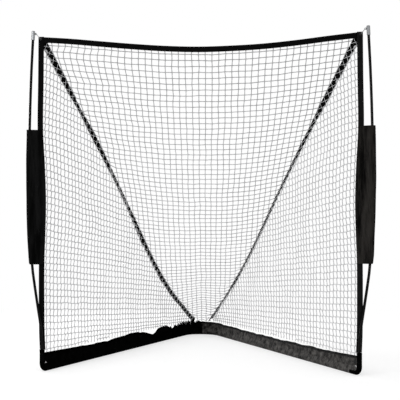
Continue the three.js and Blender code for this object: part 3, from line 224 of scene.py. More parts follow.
class Noise:
    """Smooth noise between -1 and 1, the same on each run."""

    def __init__(self, seed):
        self.table = np.random.RandomState(seed).rand(64, 64) * 2 - 1

    def at(self, x, y=0.0):
        i, j = math.floor(x), math.floor(y)
        u, v = smooth(x - i), smooth(y - j)
        t = self.table
        a, b = t[i % 64, j % 64], t[(i + 1) % 64, j % 64]
        c, d = t[i % 64, (j + 1) % 64], t[(i + 1) % 64, (j + 1) % 64]
        return float((a * (1 - u) + b * u) * (1 - v) + (c * (1 - u) + d * u) * v)


# Meshes
def mesh_piece(name, points, faces, look, uvs):
    mesh = bpy.data.meshes.new(name)
    mesh.from_pydata([tuple(map(float, p)) for p in points], [], faces)
    layer = mesh.uv_layers.new(name="cloth")
    flat = np.array([uvs[loop.vertex_index] for loop in mesh.loops], dtype=np.float32)
    layer.data.foreach_set("uv", flat.ravel())
    mesh.polygons.foreach_set("use_smooth", [True] * len(mesh.polygons))
    mesh.materials.append(look)
    obj = bpy.data.objects.new(name, mesh)
    bpy.context.scene.collection.objects.link(obj)
    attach(obj, "goal")
    return obj


def loft(rings, closed=True, caps=True):
    """Points and faces of a skin over rings with as many points each."""
    size = len(rings[0])
    points = [p for ring in rings for p in ring]
    faces = []
    for i in range(len(rings) - 1):
        for k in range(size if closed else size - 1):
            a, b = i * size + k, i * size + (k + 1) % size
            faces.append((a, b, b + size, a + size))
    if closed and caps:
        last = (len(rings) - 1) * size
        faces.append(tuple(reversed(range(size))))
        faces.append(tuple(last + k for k in range(size)))
    return points, faces


def frames_along(points, up=Z):
    """Across and upward directions at each point of a path, with no sudden turns."""
    out, normal = [], up
    for i in range(len(points)):
        before, after = points[max(i - 1, 0)], points[min(i + 1, len(points) - 1)]
        tangent = unit(after - before)
        normal = unit(normal - tangent * float(normal @ tangent))
        out.append((np.cross(tangent, normal), normal))
    return out


def rod_rings(points, radii, sides, up=Z):
    turns = [2 * math.pi * k / sides for k in range(sides)]
    rings = []
    for p, r, (a, n) in zip(points, radii, frames_along(points, up)):
        rings.append([p + r * (math.cos(w) * a + math.sin(w) * n) for w in turns])
    return rings


class Strands:
    """Many thin strands gathered in one mesh, thicker where they cross."""

    def __init__(self, sides=6):
        self.points, self.faces, self.uvs, self.sides = [], [], [], sides

    def add(self, path, radius=TWINE_R, knot_share=1.18, waist_share=0.93, up=Y):
        stations, radii = [np.asarray(path[0], float)], [radius]
        for i, p in enumerate(path[1:], 1):
            p = np.asarray(p, float)
            stations += [(stations[-1] + p) / 2, p]
            radii += [radius * waist_share, radius * (1.0 if i == len(path) - 1 else knot_share)]
        base = len(self.points)
        points, faces = loft(rod_rings(stations, radii, self.sides, up))
        self.points += points
        self.faces += [tuple(base + v for v in face) for face in faces]
        steps = [float(np.linalg.norm(b - a)) for a, b in zip(stations, stations[1:])]
        for length in np.cumsum([0.0, *steps]):
            self.uvs += [(k / self.sides, length) for k in range(self.sides)]

    def piece(self, name, look):
        return mesh_piece(name, self.points, self.faces, look, self.uvs)


def thicken(piece, thickness):
    """Gives an open cloth surface its thickness, inwards."""
    work = bmesh.new()
    work.from_mesh(piece.data)
    bmesh.ops.recalc_face_normals(work, faces=work.faces)
    work.to_mesh(piece.data)
    work.free()
    thick = piece.modifiers.new("cloth", "SOLIDIFY")
    thick.thickness = thickness
    thick.offset = -1
    graph = bpy.context.evaluated_depsgraph_get()
    mesh = bpy.data.meshes.new_from_object(piece.evaluated_get(graph))
    piece.modifiers.clear()
    piece.data = mesh


# Materials
class Look:
    """A Principled material, with short helpers for its nodes."""

    def __init__(self, name):
        self.material = bpy.data.materials.new(name)
        self.material.use_nodes = True
        self.tree = self.material.node_tree
        self.shader = self.tree.nodes["Principled BSDF"]

    def link(self, a, b):
        self.tree.links.new(a, b)

    def set(self, **values):
        for key, value in values.items():
            self.shader.inputs[key.replace("_", " ")].default_value = value

    def math(self, operation, a, b=None, limited=False):
        node = self.tree.nodes.new("ShaderNodeMath")
        node.operation = operation
        node.use_clamp = limited
        for i, value in enumerate((a, b)):
            if isinstance(value, (int, float)):
                node.inputs[i].default_value = value
            elif value is not None:
                self.link(value, node.inputs[i])
        return node.outputs[0]

    def times(self, a, b):
        return self.math("MULTIPLY", a, b)

    def plus(self, a, b):
        return self.math("ADD", a, b)

    def coords(self, kind="Object", scale=(1, 1, 1)):
        mapping = self.tree.nodes.new("ShaderNodeMapping")
        mapping.inputs["Scale"].default_value = scale
        self.link(self.tree.nodes.new("ShaderNodeTexCoord").outputs[kind], mapping.inputs["Vector"])
        return mapping.outputs[0]

    def split(self, vector):
        node = self.tree.nodes.new("ShaderNodeSeparateXYZ")
        self.link(vector, node.inputs[0])
        return node.outputs

    def noise(self, vector, scale, detail=3.0, roughness=0.5):
        node = self.tree.nodes.new("ShaderNodeTexNoise")
        node.inputs["Scale"].default_value = scale
        node.inputs["Detail"].default_value = detail
        node.inputs["Roughness"].default_value = roughness
        self.link(vector, node.inputs["Vector"])
        return node.outputs[0]

    def wave(self, value, pitch):
        return self.math("SINE", self.times(value, 2 * math.pi / pitch))

    def ramp(self, factor, stops):
        node = self.tree.nodes.new("ShaderNodeValToRGB")
        while len(node.color_ramp.elements) < len(stops):
            node.color_ramp.elements.new(0.5)
        for element, (place, colour) in zip(node.color_ramp.elements, stops):
            element.position = place
            element.color = (*colour, 1)
        self.link(factor, node.inputs[0])
        return node.outputs[0]

    def mix(self, factor, a, b):
        node = self.tree.nodes.new("ShaderNodeMix")
        node.data_type = "RGBA"
        self.link(factor, node.inputs[0])
        for socket, value in ((node.inputs[6], a), (node.inputs[7], b)):
            if isinstance(value, tuple):
                socket.default_value = (*value, 1)
            else:
                self.link(value, socket)
        return node.outputs[2]

    def colour(self, socket):
        self.link(socket, self.shader.inputs["Base Color"])

    def rough(self, factor, middle, spread):
        spread_part = self.times(factor, spread)
        level = self.math("ADD", spread_part, middle - spread / 2, True)
        self.link(level, self.shader.inputs["Roughness"])

    def bump(self, height, distance, strength=1.0):
        node = self.tree.nodes.new("ShaderNodeBump")
        node.inputs["Distance"].default_value = distance
        node.inputs["Strength"].default_value = strength
        self.link(height, node.inputs["Height"])
        self.link(node.outputs[0], self.shader.inputs["Normal"])


def grey(value, tint=(1.0, 1.0, 1.0)):
    return tuple(value * c for c in tint)


YARN_PITCH = 0.0011
RIB_PITCH = 0.0016
STITCH_HALF = 0.0006  # half the width of a row of stitches
BRAID_PITCH = 0.007


def cloth_look(name, dark, light, crease, tint=(1, 1, 1), hem=HEM, shine=0.02, drawn=1):
    """Black woven nylon: yarns, crumpled patches of painted highlight and painted shade, creases and a
    darker turned hem with its stitches.

    With drawn below 1, the painted highlight patches and the creases are long and upright.
    """
    n = Look(name)
    place = n.coords("Object", (1, 1, drawn))
    u, v, _ = n.split(n.coords("UV"))
    weave = n.times(n.wave(u, YARN_PITCH), n.wave(v, YARN_PITCH))
    # Painted highlights and painted shade of the crumples, as lighter and darker patches of colour; the
    # same noise also varies the roughness
    painted_crinkle_light = n.noise(place, 26, 5, 0.68)
    shade = n.plus(painted_crinkle_light, n.times(weave, 0.08))
    painted_light_cloth = n.ramp(shade, [(0.4, grey(dark, tint)), (0.62, grey(light, tint))])
    hemmed = n.math("LESS_THAN", u, hem)
    from_stitches = n.math("ABSOLUTE", n.math("SUBTRACT", u, hem * 0.85))
    stitch_row = n.math("LESS_THAN", from_stitches, STITCH_HALF)
    stitch = n.times(stitch_row, n.math("GREATER_THAN", n.wave(v, 0.004), -0.4))
    n.colour(n.mix(stitch, n.mix(hemmed, painted_light_cloth, grey(dark * 0.3)), grey(light * 0.5)))
    n.rough(painted_crinkle_light, 0.52, 0.16)
    creases = n.noise(place, 42, 3, 0.55)
    height = n.plus(n.times(creases, crease * 1000), n.times(weave, 0.1))
    n.bump(n.plus(height, n.times(hemmed, 0.5)), 0.001)
    n.set(Specular_IOR_Level=shine)
    return n.material


def webbing_look(name, dark, light, width, stitches, shine=0.02):
    """Woven tape: ribs across it, worn patches, and rows of stitches near its edges."""
    n = Look(name)
    u, v, _ = n.split(n.coords("UV"))
    yarns = n.times(n.wave(u, 0.0022), 0.15)
    ribs = n.plus(n.times(n.wave(v, RIB_PITCH), 0.35), yarns)
    worn = n.noise(n.coords("Object"), 35, 4, 0.6)
    dashes = n.math("GREATER_THAN", n.wave(v, 0.0045), -0.35)
    rows = None
    for centre in [s for inset in stitches for s in (inset, width - inset)]:
        near = n.math("LESS_THAN", n.math("ABSOLUTE", n.math("SUBTRACT", u, centre)), STITCH_HALF)
        rows = near if rows is None else n.math("MAXIMUM", rows, near)
    stitch = n.times(rows, dashes)
    shade = n.plus(worn, n.times(ribs, 0.2))
    n.colour(n.mix(stitch, n.ramp(shade, [(0.3, grey(dark)), (0.75, grey(light))]), grey(light * 1.8)))
    n.rough(worn, 0.5, 0.2)
    n.bump(n.plus(ribs, n.times(stitch, 1.2)), 0.0004)
    n.set(Specular_IOR_Level=shine)
    return n.material


def twine_look(name, dark, light, low=1.0):
    """White braided twine, slightly soiled in places, with painted light that makes it lighter towards the
    ground by the factor low.
    """
    n = Look(name)
    u, v, _ = n.split(n.coords("UV"))
    round_it = n.times(u, 4 * math.pi)
    along = n.times(v, 2 * math.pi / BRAID_PITCH)
    one_way = n.math("SINE", n.plus(along, round_it))
    braid = n.times(one_way, n.math("SINE", n.math("SUBTRACT", along, round_it)))
    soil = n.noise(n.coords("Object"), 9, 4, 0.6)
    shade = n.plus(soil, n.times(braid, 0.12))
    # Painted light: the twine's colour is lighter towards the ground
    height = n.split(n.coords("Object"))[2]
    painted_low_light = n.math("SUBTRACT", 1.0, n.math("DIVIDE", height, NET_TOP), True)
    cool = (0.99, 0.995, 1.01)
    high = n.ramp(shade, [(0.25, grey(dark, cool)), (0.85, grey(light, cool))])
    lower = n.ramp(shade, [(0.25, grey(dark * low, cool)), (0.85, grey(light * low, cool))])
    n.colour(n.mix(painted_low_light, high, lower))
    n.rough(soil, 0.7, 0.2)
    n.bump(braid, 0.0005, 0.7)
    n.set(Specular_IOR_Level=0.25)
    return n.material


def metal_look(name, edge, face, roughness):
    """Drawn or polished metal with a painted reflection, darker where it turns away, and a fine grain
    along it.
    """
    n = Look(name)
    grain = n.noise(n.coords("Object", (1, 1, 0.15)), 2400, 3, 0.6)
    blotch = n.noise(n.coords("Object"), 60, 3, 0.6)
    # Painted reflection: lighter where the metal faces the view, darker towards its edges
    facing = n.tree.nodes.new("ShaderNodeLayerWeight")
    facing.inputs["Blend"].default_value = 0.35
    turned = n.plus(facing.outputs["Facing"], n.times(blotch, 0.12))
    n.colour(n.ramp(turned, [(0.12, face), (0.75, edge)]))
    n.rough(grain, roughness, 0.14)
    n.bump(grain, 0.00004, 0.6)
    n.set(Metallic=1.0)
    return n.material


def coated_look(name, dark, light, roughness, grain_scale, specular=0.15, coat=0.0):
    """Paint, plastic or resin: a fine orange-peel grain and faint scuffs."""
    n = Look(name)
    fine = n.noise(n.coords("Object"), grain_scale, 2, 0.5)
    scuff = n.noise(n.coords("Object", (1, 1, 0.2)), 70, 5, 0.7)
    n.colour(n.ramp(scuff, [(0.35, grey(dark)), (0.8, grey(light))]))
    n.rough(scuff, roughness, 0.14)
    n.bump(fine, 0.00005, 0.8)
    n.set(Specular_IOR_Level=specular, Coat_Weight=coat, Coat_Roughness=0.15)
    return n.material


# Painted shade: the white twine is greyed, more on the back panel than on the side panels
BACK_TWINE_LOOK = twine_look("net_twine_painted_shade_look", 0.34, 0.48, 2.05)
SIDE_TWINE_LOOK = twine_look("side_twine_painted_shade_look", 0.50, 0.68, 1.2)
LACING_LOOK = twine_look("lacing_twine_look", 0.7, 0.85)
TOP_BORDER_LOOK = webbing_look("top_webbing_look", 0.001, 0.003, BORDER_WIDTH, (0.0035, 0.009))
# The right border is a lit copy of the same black webbing: its lighter grey is painted light
BORDER_LOOKS = {
    -1: webbing_look("left_webbing_look", 0.001, 0.003, BORDER_WIDTH, (0.0035, 0.009)),
    1: webbing_look("right_webbing_painted_light_look", 0.003, 0.010, BORDER_WIDTH, (0.0035, 0.009), shine=0.03),
}
STRAP_LOOK = webbing_look("strap_webbing_look", 0.001, 0.003, STRAP_FACE, (0.003,))
# The right skirt is a lit copy of the left one's black cloth: its lighter, brownish crumples are painted
# highlights
SKIRT_LOOKS = {
    -1: cloth_look("left_skirt_cloth_look", 0.0006, 0.002, 0.0008, shine=0.0),
    1: cloth_look("right_skirt_cloth_painted_light_look", 0.002, 0.085, 0.0018, (1.0, 0.95, 0.90), shine=0.05),
}
# The right sleeve is a lit copy of the left one's black cloth: its lighter, brownish upright folds are
# painted highlights
SLEEVE_LOOKS = {
    -1: cloth_look("left_sleeve_cloth_look", 0.001, 0.006, 0.0010, hem=0.0, shine=0.01, drawn=0.12),
    1: cloth_look(
        "right_sleeve_cloth_painted_light_look", 0.001, 0.026, 0.0010, (1.0, 0.92, 0.84), hem=0.0, drawn=0.12
    ),
}
TUBE_LOOK = coated_look("tube_paint_look", 0.008, 0.014, 0.42, 900)
POLE_LOOK = coated_look("fibreglass_look", 0.001, 0.003, 0.25, 500, 0.04, 0.05)
BUSH_LOOK = coated_look("bush_plastic_look", 0.008, 0.014, 0.5, 1400)
PLUG_LOOK = coated_look("plug_plastic_look", 0.01, 0.016, 0.5, 1400)
CAP_LOOK = metal_look("cap_steel_look", (0.04, 0.04, 0.042), (0.30, 0.31, 0.32), 0.22)
LINK_LOOK = metal_look("link_steel_look", (0.08, 0.08, 0.08), (0.30, 0.30, 0.31), 0.3)
EYELET_LOOK = metal_look("eyelet_steel_look", (0.01, 0.01, 0.01), (0.03, 0.03, 0.03), 0.4)
STAKE_LOOK = metal_look("stake_eyelet_look", (0.3, 0.3, 0.3), (0.6, 0.6, 0.6), 0.35)
SPRING_LOOK = metal_look("spring_steel_look", (0.2, 0.2, 0.21), (0.5, 0.52, 0.55), 0.34)
BUTTON_LOOK = metal_look("button_steel_look", (0.3, 0.3, 0.31), (0.7, 0.71, 0.73), 0.24)

CARRIED_LOOKS = {
    "rear_bend_tube": TUBE_LOOK,
    "front_tube": TUBE_LOOK,
    "mid_tube": TUBE_LOOK,
    "snap_button": BUTTON_LOOK,
    "spring_clip": SPRING_LOOK,
    "socket_bush": BUSH_LOOK,
    "pole_lower": POLE_LOOK,
    "pole_upper": POLE_LOOK,
    "pole_ferrule": SPRING_LOOK,
    "tip_cap": CAP_LOOK,
    "tip_plug": PLUG_LOOK,
    "corner_link": LINK_LOOK,
    "corner_eyelet": EYELET_LOOK,
    "stake_eyelet": STAKE_LOOK,
}


def dress_carried_nodes():
    for name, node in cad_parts.items():
        for start, look in CARRIED_LOOKS.items():
            if name.startswith(start):
                node.data.materials.clear()
                node.data.materials.append(look)


# Netting: real squares, strand by strand
rng = random.Random(11)

# Sideways slip of the squares by the left top corner: [rows down, share of a square]
corner_slip = smooth_through(
    [[0, 0], [1, -0.5], [2, -0.58], [3, -0.42], [4, -0.3], [5, -0.05], [6, 0.18], [7, -0.06],
     [8, 0.1], [9, 0.3], [10, 0.38], [11, 0.15], [13, 0.28], [15, 0.1], [18, 0.2], [22, 0], [70, 0]]
)
CORNER_REACH = 0.62  # how far from the corner's seam the slip is seen
CLEAR_OF_SEAM = 0.014  # the netting has no knots nearer to its seams than this
EDGE_STRETCH = 0.12  # it is pulled this much longer along its seams than at its middle
COLUMN_SAMPLES = 161
TOP_SPACING = 1.02  # of the back panel's lengthwise strands, in squares
SPACING_LOSS = 0.085  # they lie this much closer further down
LOSS_FROM, LOSS_OVER = 0.1, 0.42  # from this share of the way down, growing over this share
BACK_DRIFT, BACK_JITTER = 0.08, 0.045  # sideways waver of the knots, in squares
BACK_SWAY, BACK_BOB = 0.05, 0.03  # and up and down
FREE_FOOT = 0.99  # strands that come further down than this end at the panel's foot
TIE_BELOW, ROW_TIE_BELOW = 0.012, 0.004  # lengthwise strands and rows are tied this share lower


def spacing(t):
    """Spacing of the back panel's lengthwise strands, in squares, at a share of the way down."""
    return TOP_SPACING - SPACING_LOSS * smooth((t - LOSS_FROM) / LOSS_OVER)


def back_column(k):
    """Unstretched lengths along a lengthwise strand, and the shares of the way down that go with them."""
    ts, places = [], []
    for t in np.linspace(0, 1, COLUMN_SAMPLES):
        x = k * MESH * spacing(t)
        if abs(x) >= seam_half(t) - TWINE_R:
            break
        ts.append(t)
        places.append(back_panel(x / seam_half(t), t))
    steps = []
    for a, b, t in zip(places, places[1:], ts):
        stretch = 1 + EDGE_STRETCH * (abs(k * MESH) / seam_half(t)) ** 1.25
        steps.append(float(np.linalg.norm(b - a)) / stretch)
    return np.cumsum([0.0, *steps]), np.array(ts)


def back_knots(columns):
    """Places of the back panel's knots, by lengthwise strand and row."""
    drift, sway = Noise(5), Noise(8)
    knots = {}
    for k, (lengths, ts) in columns.items():
        for j in range(int((lengths[-1] - FIRST_ROW) / MESH) + 1):
            t = float(np.interp(FIRST_ROW + j * MESH, lengths, ts))
            x = k * MESH * spacing(t)
            near_left = 1 - smooth((x + seam_half(t)) / CORNER_REACH)
            slip = corner_slip(j) * near_left + BACK_DRIFT * drift.at(j * 0.45, k * 0.23)
            slip += rng.uniform(-BACK_JITTER, BACK_JITTER)
            held = smooth((seam_half(t) - abs(x)) / (2 * MESH))
            x += slip * MESH * held
            if seam_half(t) - abs(x) < CLEAR_OF_SEAM:
                continue
            knot = back_panel(x / seam_half(t), t)
            lift = BACK_SWAY * sway.at(k * 0.5, j * 0.31) + rng.uniform(-BACK_BOB, BACK_BOB)
            knot[2] += MESH * lift * held
            knots[k, j] = knot
    return knots


def back_net():
    net = Strands()
    half = int(SEAM_TOP_X / (MESH * spacing(0)))
    columns = {k: back_column(k) for k in range(-half, half + 1)}
    columns = {k: column for k, column in columns.items() if len(column[1]) > 1}
    knots = back_knots(columns)
    rows = 1 + max(j for _, j in knots)
    for k, (lengths, ts) in columns.items():
        path = [knots[k, j] for j in range(rows) if (k, j) in knots]
        if not path:
            continue
        top = back_panel(k * MESH * spacing(0) / seam_half(0), 0) + Z * TWINE_R
        if ts[-1] < FREE_FOOT:
            end = strap_tie(-1 if k < 0 else 1, min(SEAM_END, ts[-1] + TIE_BELOW), path[-1])
        else:
            end = back_panel(k * MESH * spacing(1) / seam_half(1), 1) - Z * 2 * TWINE_R
        net.add([top, *path, end])
    for j in range(rows):
        ks = sorted(k for k, row in knots if row == j)
        if len(ks) < 2:
            continue
        ends = []
        for side, k in ((-1, ks[0]), (1, ks[-1])):
            t = float(np.interp(FIRST_ROW + j * MESH, *columns[k]))
            ends.append(strap_tie(side, min(SEAM_END, t + ROW_TIE_BELOW), knots[k, j]))
        net.add([ends[0], *(knots[k, j] for k in ks), ends[1]])
    return net.piece("net_back_mesh", BACK_TWINE_LOOK)


MOST_ROWS = 60  # more than a side panel has
FIRST_SIDE_ROW = 0.012  # from a side panel's foot up to its first row, at the mouth
ROW_PITCH_SHARE = 1.012  # rows of a side panel stand a little apart on the border
ROW_FALLS = {-1: (0.080, 0.138), 1: (0.058, 0.118)}  # slope of the rows low down, and up high
FALL_FROM, FALL_OVER = 0.3, 0.7  # the slope grows from this height above the foot, over this one
ROW_SETTLES = 0.11  # above the foot the rows reach their full slope in this height
FOLD_FROM, FOLD_OVER = 1.15, 0.3  # a fold by the mouth grows from this height, over this one
FOLD_REACH, FOLD_SETTLES = 0.16, 0.14  # the rows run level in the fold, and fall behind it
KNOT_STEP = 0.0042  # the uprights leave each row this far to the side of where they meet it
CLEAR_OF_FOOT = 0.006  # a side panel has no knots nearer to its foot than this
SIDE_DRIFT, SIDE_JITTER, SIDE_PAIRING = 0.10, 0.06, 0.02  # sideways waver, in squares
SIDE_RISE, SIDE_BOB, RISE_PAIRING = 0.10, 0.03, 0.04  # and up and down
BILLOW, SMALL_BILLOW = 0.012, 0.004  # depth of the soft waves of the side panels
BILLOW_STARTS = 0.25  # behind the mouth, whose border holds the netting flat
LOOSE_END_SHARE = 0.8  # beyond this share of the way the left uprights hang down over the skirt
LOOSE_END = (0.004, 0.02)  # by this much


def side_row(side, j, run):
    """Height of a side panel's row: it falls towards the rear, and follows the skirt near the foot."""
    front = NET_FOOT + FIRST_SIDE_ROW + j * MESH * ROW_PITCH_SHARE
    low, high = ROW_FALLS[side]
    fall = low + (high - low) * clamp((front - NET_FOOT - FALL_FROM) / FALL_OVER)
    fold = FOLD_REACH * clamp((front - FOLD_FROM) / FOLD_OVER)
    past = run - fold * (1 - math.exp(-run / FOLD_SETTLES))
    return front - fall * past * (1 - math.exp((NET_FOOT - front) / ROW_SETTLES))


def side_knots(side):
    """Knots of a side panel by upright and row, each upright's share of the way, and the normal."""
    rise, pair, wave = (Noise(seed + side) for seed in (21, 26, 31))
    normal = np.array([-side * math.cos(LEG_ANGLE), -math.sin(LEG_ANGLE), 0.0])
    knots, shares = {}, {}
    for i in range(int(SIDE_RUN / MESH)):
        run = (i + FIRST_COLUMN_SHARE) * MESH
        t = run / SIDE_RUN
        if t > 1 or seam_point(side, t)[2] - NET_FOOT < MESH / 2:
            break
        shares[i] = t
        odd = 1 if i % 2 else -1
        for j in range(MOST_ROWS):
            slip = SIDE_PAIRING * odd + SIDE_DRIFT * pair.at(i * 0.43, j * 0.19)
            slip += rng.uniform(-SIDE_JITTER, SIDE_JITTER)
            slip *= smooth(i / 3)
            t_here = clamp(t + slip * MESH / SIDE_RUN)
            z = side_row(side, j, run)
            step = SIDE_RISE * rise.at(i * 0.37, j * 0.29)
            step += RISE_PAIRING * odd * rise.at(i * 0.11, j * 0.4)
            z += MESH * (step + rng.uniform(-SIDE_BOB, SIDE_BOB))
            top = seam_point(side, t_here)[2]
            if not NET_FOOT + CLEAR_OF_FOOT < z < top - CLEAR_OF_SEAM:
                continue
            up = (z - NET_FOOT) / (top - NET_FOOT)
            loose = math.sin(math.pi * up) * (1 - math.exp(-run / BILLOW_STARTS))
            soft = BILLOW * wave.at(run * 4.2, z * 3.6) + SMALL_BILLOW * wave.at(run * 11 + 9, z * 9)
            knots[i, j] = side_panel(side, t_here, up) + normal * soft * loose
    return knots, shares, normal


def side_uprights(net, side, knots, shares, normal):
    step = KNOT_STEP * (leg_point(side, 1, 0) - leg_point(side, 0, 0))
    for i, t in shares.items():
        path = []
        for j in range(MOST_ROWS):
            if (i, j) in knots:
                path += [knots[i, j] + step - Z * TWINE_R, knots[i, j] - step + Z * TWINE_R]
        foot = skirt_edge(side, t) - Z * 2 * TWINE_R
        if side < 0 and t > LOOSE_END_SHARE:
            foot += normal * 2 * TWINE_R - Z * rng.uniform(*LOOSE_END)
        net.add([foot, *path, strap_tie(side, min(SEAM_END, t), path[-1] if path else foot)])


def side_rows(net, side, knots, shares):
    for j in range(MOST_ROWS):
        row = sorted(i for i, level in knots if level == j)
        breaks = [n for n in range(1, len(row)) if row[n] != row[n - 1] + 1]
        for start, stop in zip([0, *breaks], [*breaks, len(row)]):
            part = row[start:stop]
            if not part:
                continue
            path = [knots[i, j] for i in part]
            if part[0] == 0:
                up = (side_row(side, j, 0) - NET_FOOT) / (SEAM_TOP_Z - NET_FOOT)
                path = [side_panel(side, 0.0, clamp(up)), *path]
            t_next = min(1.0, shares[part[-1]] + MESH / SIDE_RUN)
            seam = strap_tie(side, min(SEAM_END, (shares[part[-1]] + t_next) / 2), path[-1])
            if seam[2] < path[-1][2] + MESH / 2:
                path.append(seam)
            if len(path) > 1:
                net.add(path)


def side_net(side):
    net = Strands()
    knots, shares, normal = side_knots(side)
    side_uprights(net, side, knots, shares, normal)
    side_rows(net, side, knots, shares)
    return net.piece(f"net_{SIDES[side]}_mesh", SIDE_TWINE_LOOK)


# Webbing
STRAP_STATIONS = 280
STRAP_FROM, STRAP_TO = -0.0009, 0.997  # shares of the seam
LACING_FROM, LACING_TO = 0.004, 0.99
SEAM_SAMPLES = 200


def band(name, centres, acrosses, normals, width, thickness, look, steps=6):
    """A flat tape with rounded edges. Its UVs are in metres, across it and along it."""
    half, edge = width / 2, thickness * 0.45
    flat = [-half + edge + (width - 2 * edge) * k / steps for k in range(steps + 1)]
    outline = [(x, thickness / 2) for x in flat] + [(half, 0.0)]
    outline += [(x, -thickness / 2) for x in reversed(flat)] + [(-half, 0.0)]
    rings, uvs, length = [], [], 0.0
    for i, (c, a, n) in enumerate(zip(centres, acrosses, normals)):
        if i:
            length += float(np.linalg.norm(c - centres[i - 1]))
        rings.append([c + a * x + n * y for x, y in outline])
        uvs += [(x + half, length) for x, _ in outline]
    points, faces = loft(rings)
    return mesh_piece(name, points, faces, look, uvs)


def mouth_borders():
    count = 181
    for side, name in SIDES.items():
        centres = [
            np.array([side * border_x(z), FRONT_Y + BORDER_Y, z])
            for z in np.linspace(BORDER_FOOT, NET_TOP, count)
        ]
        web = band(
            f"side_border_{name}_web", centres, [X] * count, [-Y] * count, BORDER_WIDTH,
            BORDER_THICKNESS, BORDER_LOOKS[side],
        )
        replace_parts(web, f"side_border_{name}")
    reach = TOP_HALF - BORDER_WIDTH
    centres = [
        np.array([x, FRONT_Y + BORDER_Y, top_z(x) - BORDER_WIDTH / 2])
        for x in np.linspace(-reach, reach, count)
    ]
    web = band(
        "top_border_web", centres, [-Z] * count, [-Y] * count, BORDER_WIDTH, BORDER_THICKNESS,
        TOP_BORDER_LOOK,
    )
    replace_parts(web, "top_border")


# Twist of each strap: [share of the way, degrees from lying flat over the seam]
strap_twist = {
    -1: smooth_through(
        [[0, -18], [0.08, -15], [0.12, 8], [0.17, 32], [0.2, 34], [0.27, 10], [0.34, 24], [0.4, 34],
         [0.47, 34], [0.58, 0], [0.645, 16], [0.7, -20], [0.78, 14], [0.825, 4], [0.87, 30],
         [0.93, 12], [1, 20]]
    ),
    1: smooth_through(
        [[0, 18], [0.16, 18], [0.2, 46], [0.245, 64], [0.3, 64], [0.36, 74], [0.5, 77], [0.68, 76],
         [0.76, 66], [0.79, 66], [0.84, 76], [0.93, 76], [0.98, 64], [1, 60]]
    ),
}


def strap_frame(side, t):
    """Middle of a strap, with the directions across its face and out of it.

    The one across is longer where the strap spreads out to be sewn to the corner.
    """
    _, across, out = seam_frame(side, t)
    w = math.radians(strap_twist[side](clamp(t)))
    centre = seam_point(side, t) + out * STRAP_LIFT
    spread = 1 + STRAP_SPREAD * math.exp(-max(t, 0.0) / STRAP_NARROWS)
    over = (across * math.cos(w) + out * math.sin(w)) * spread
    return centre, over, out * math.cos(w) - across * math.sin(w)


def strap_tie(side, t, strand):
    """Where a strand is tied to the strap: on its inner face, by the edge on the strand's side.

    Where the strap stands on edge, it is tied by its outer edge, on the face on the strand's side.
    """
    centre, over, normal = strap_frame(side, t)
    _, across, out = seam_frame(side, t)
    stands_out = float(over @ out)
    edge, face = math.copysign(1.0, float(over @ (strand - centre))), -1.0
    if abs(stands_out) > STANDS_ON_EDGE:
        edge = math.copysign(1.0, stands_out)
        face = math.copysign(1.0, float(normal @ across) * float(across @ (strand - centre)))
    place = centre + over * edge * STRAP_TIE_SHARE * STRAP_FACE
    return place + normal * face * (STRAP_THICKNESS / 2 + TWINE_R)


def seam_strap(side):
    name = SIDES[side]
    frames = [strap_frame(side, t) for t in np.linspace(STRAP_FROM, STRAP_TO, STRAP_STATIONS)]
    centres, acrosses, normals = zip(*frames)
    strap = band(
        f"seam_strap_{name}_web", centres, acrosses, normals, STRAP_FACE, STRAP_THICKNESS, STRAP_LOOK
    )
    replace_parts(strap, f"seam_strap_{name}")


def seam_lacing(side):
    """The netting's edge strands, which cross and cross again over the inside of the strap."""
    lacing = Strands()
    places = [seam_point(side, i / SEAM_SAMPLES) for i in range(SEAM_SAMPLES + 1)]
    length = sum(float(np.linalg.norm(b - a)) for a, b in zip(places, places[1:]))
    count = int(length / LACING_PITCH)
    for phase in (0, 1):
        path = []
        for i in range(count + 1):
            place = i + rng.uniform(-LACING_STRAY, LACING_STRAY)
            edge = (1 if (i + phase) % 2 else -1) * (STRAP_FACE / 2 - rng.uniform(*LACING_INSET))
            for hold in (-LACING_HOLD, LACING_HOLD):
                t = clamp((place + hold) / count, LACING_FROM, LACING_TO)
                centre, across, normal = strap_frame(side, t)
                path.append(centre + across * edge - normal * (STRAP_THICKNESS / 2 + TWINE_R))
        lacing.add(path, LACING_R, 1.0, 1.0)
    lacing.piece(f"seam_lacing_{SIDES[side]}", LACING_LOOK)


# Skirts: a cloth pocket round the base tube, with its upright flange
# Height of the flange's top edge above the ground: [share of the way round, metres]
skirt_top = {
    -1: smooth_through(
        [[0, 0.107], [0.3, 0.094], [0.42, 0.101], [0.51, 0.108], [0.575, 0.1], [0.66, 0.072],
         [0.7, 0.1], [0.74, 0.11], [0.775, 0.106], [0.815, 0.078], [0.86, 0.098], [0.93, 0.108],
         [1, 0.104]]
    ),
    1: smooth_through(
        [[0, 0.108], [0.25, 0.095], [0.5, 0.092], [0.62, 0.09], [0.8, 0.096], [0.92, 0.1], [1, 0.104]]
    ),
}
SKIRT_STATION = 0.009  # between two cross-sections of the skirt's mesh
SKIRT_START = 0.013  # from the socket's axis, inside the corner pocket
REAR_LAP = 0.004  # the left skirt laps over the right one at the rear
RUFFLE = 0.013  # height of the ruffles of the left skirt's loose edge near the rear
RUFFLES_FROM = 0.8
EDGE_WAVER = 0.0035
LEAST_FLANGE = 0.03
LAP_OUT = 1.05  # the lapping end stands out from the tube by this factor
FLANGE_LEAN = 0.007
POCKET_RISE = 0.034  # the pocket closes into the flange this high above the tube's axis
HEM_FOLD = 0.0009  # what the turned hem adds to the cloth's thickness
CRINKLE, CREASE = 0.0024, 0.0042  # depth of the small crumples and of the large ones
CREASE_SHARE = {-1: 0.45, 1: 1.0}
ARC_POINTS = 10
FACE_POINTS = 9
TENT_POINTS = 4


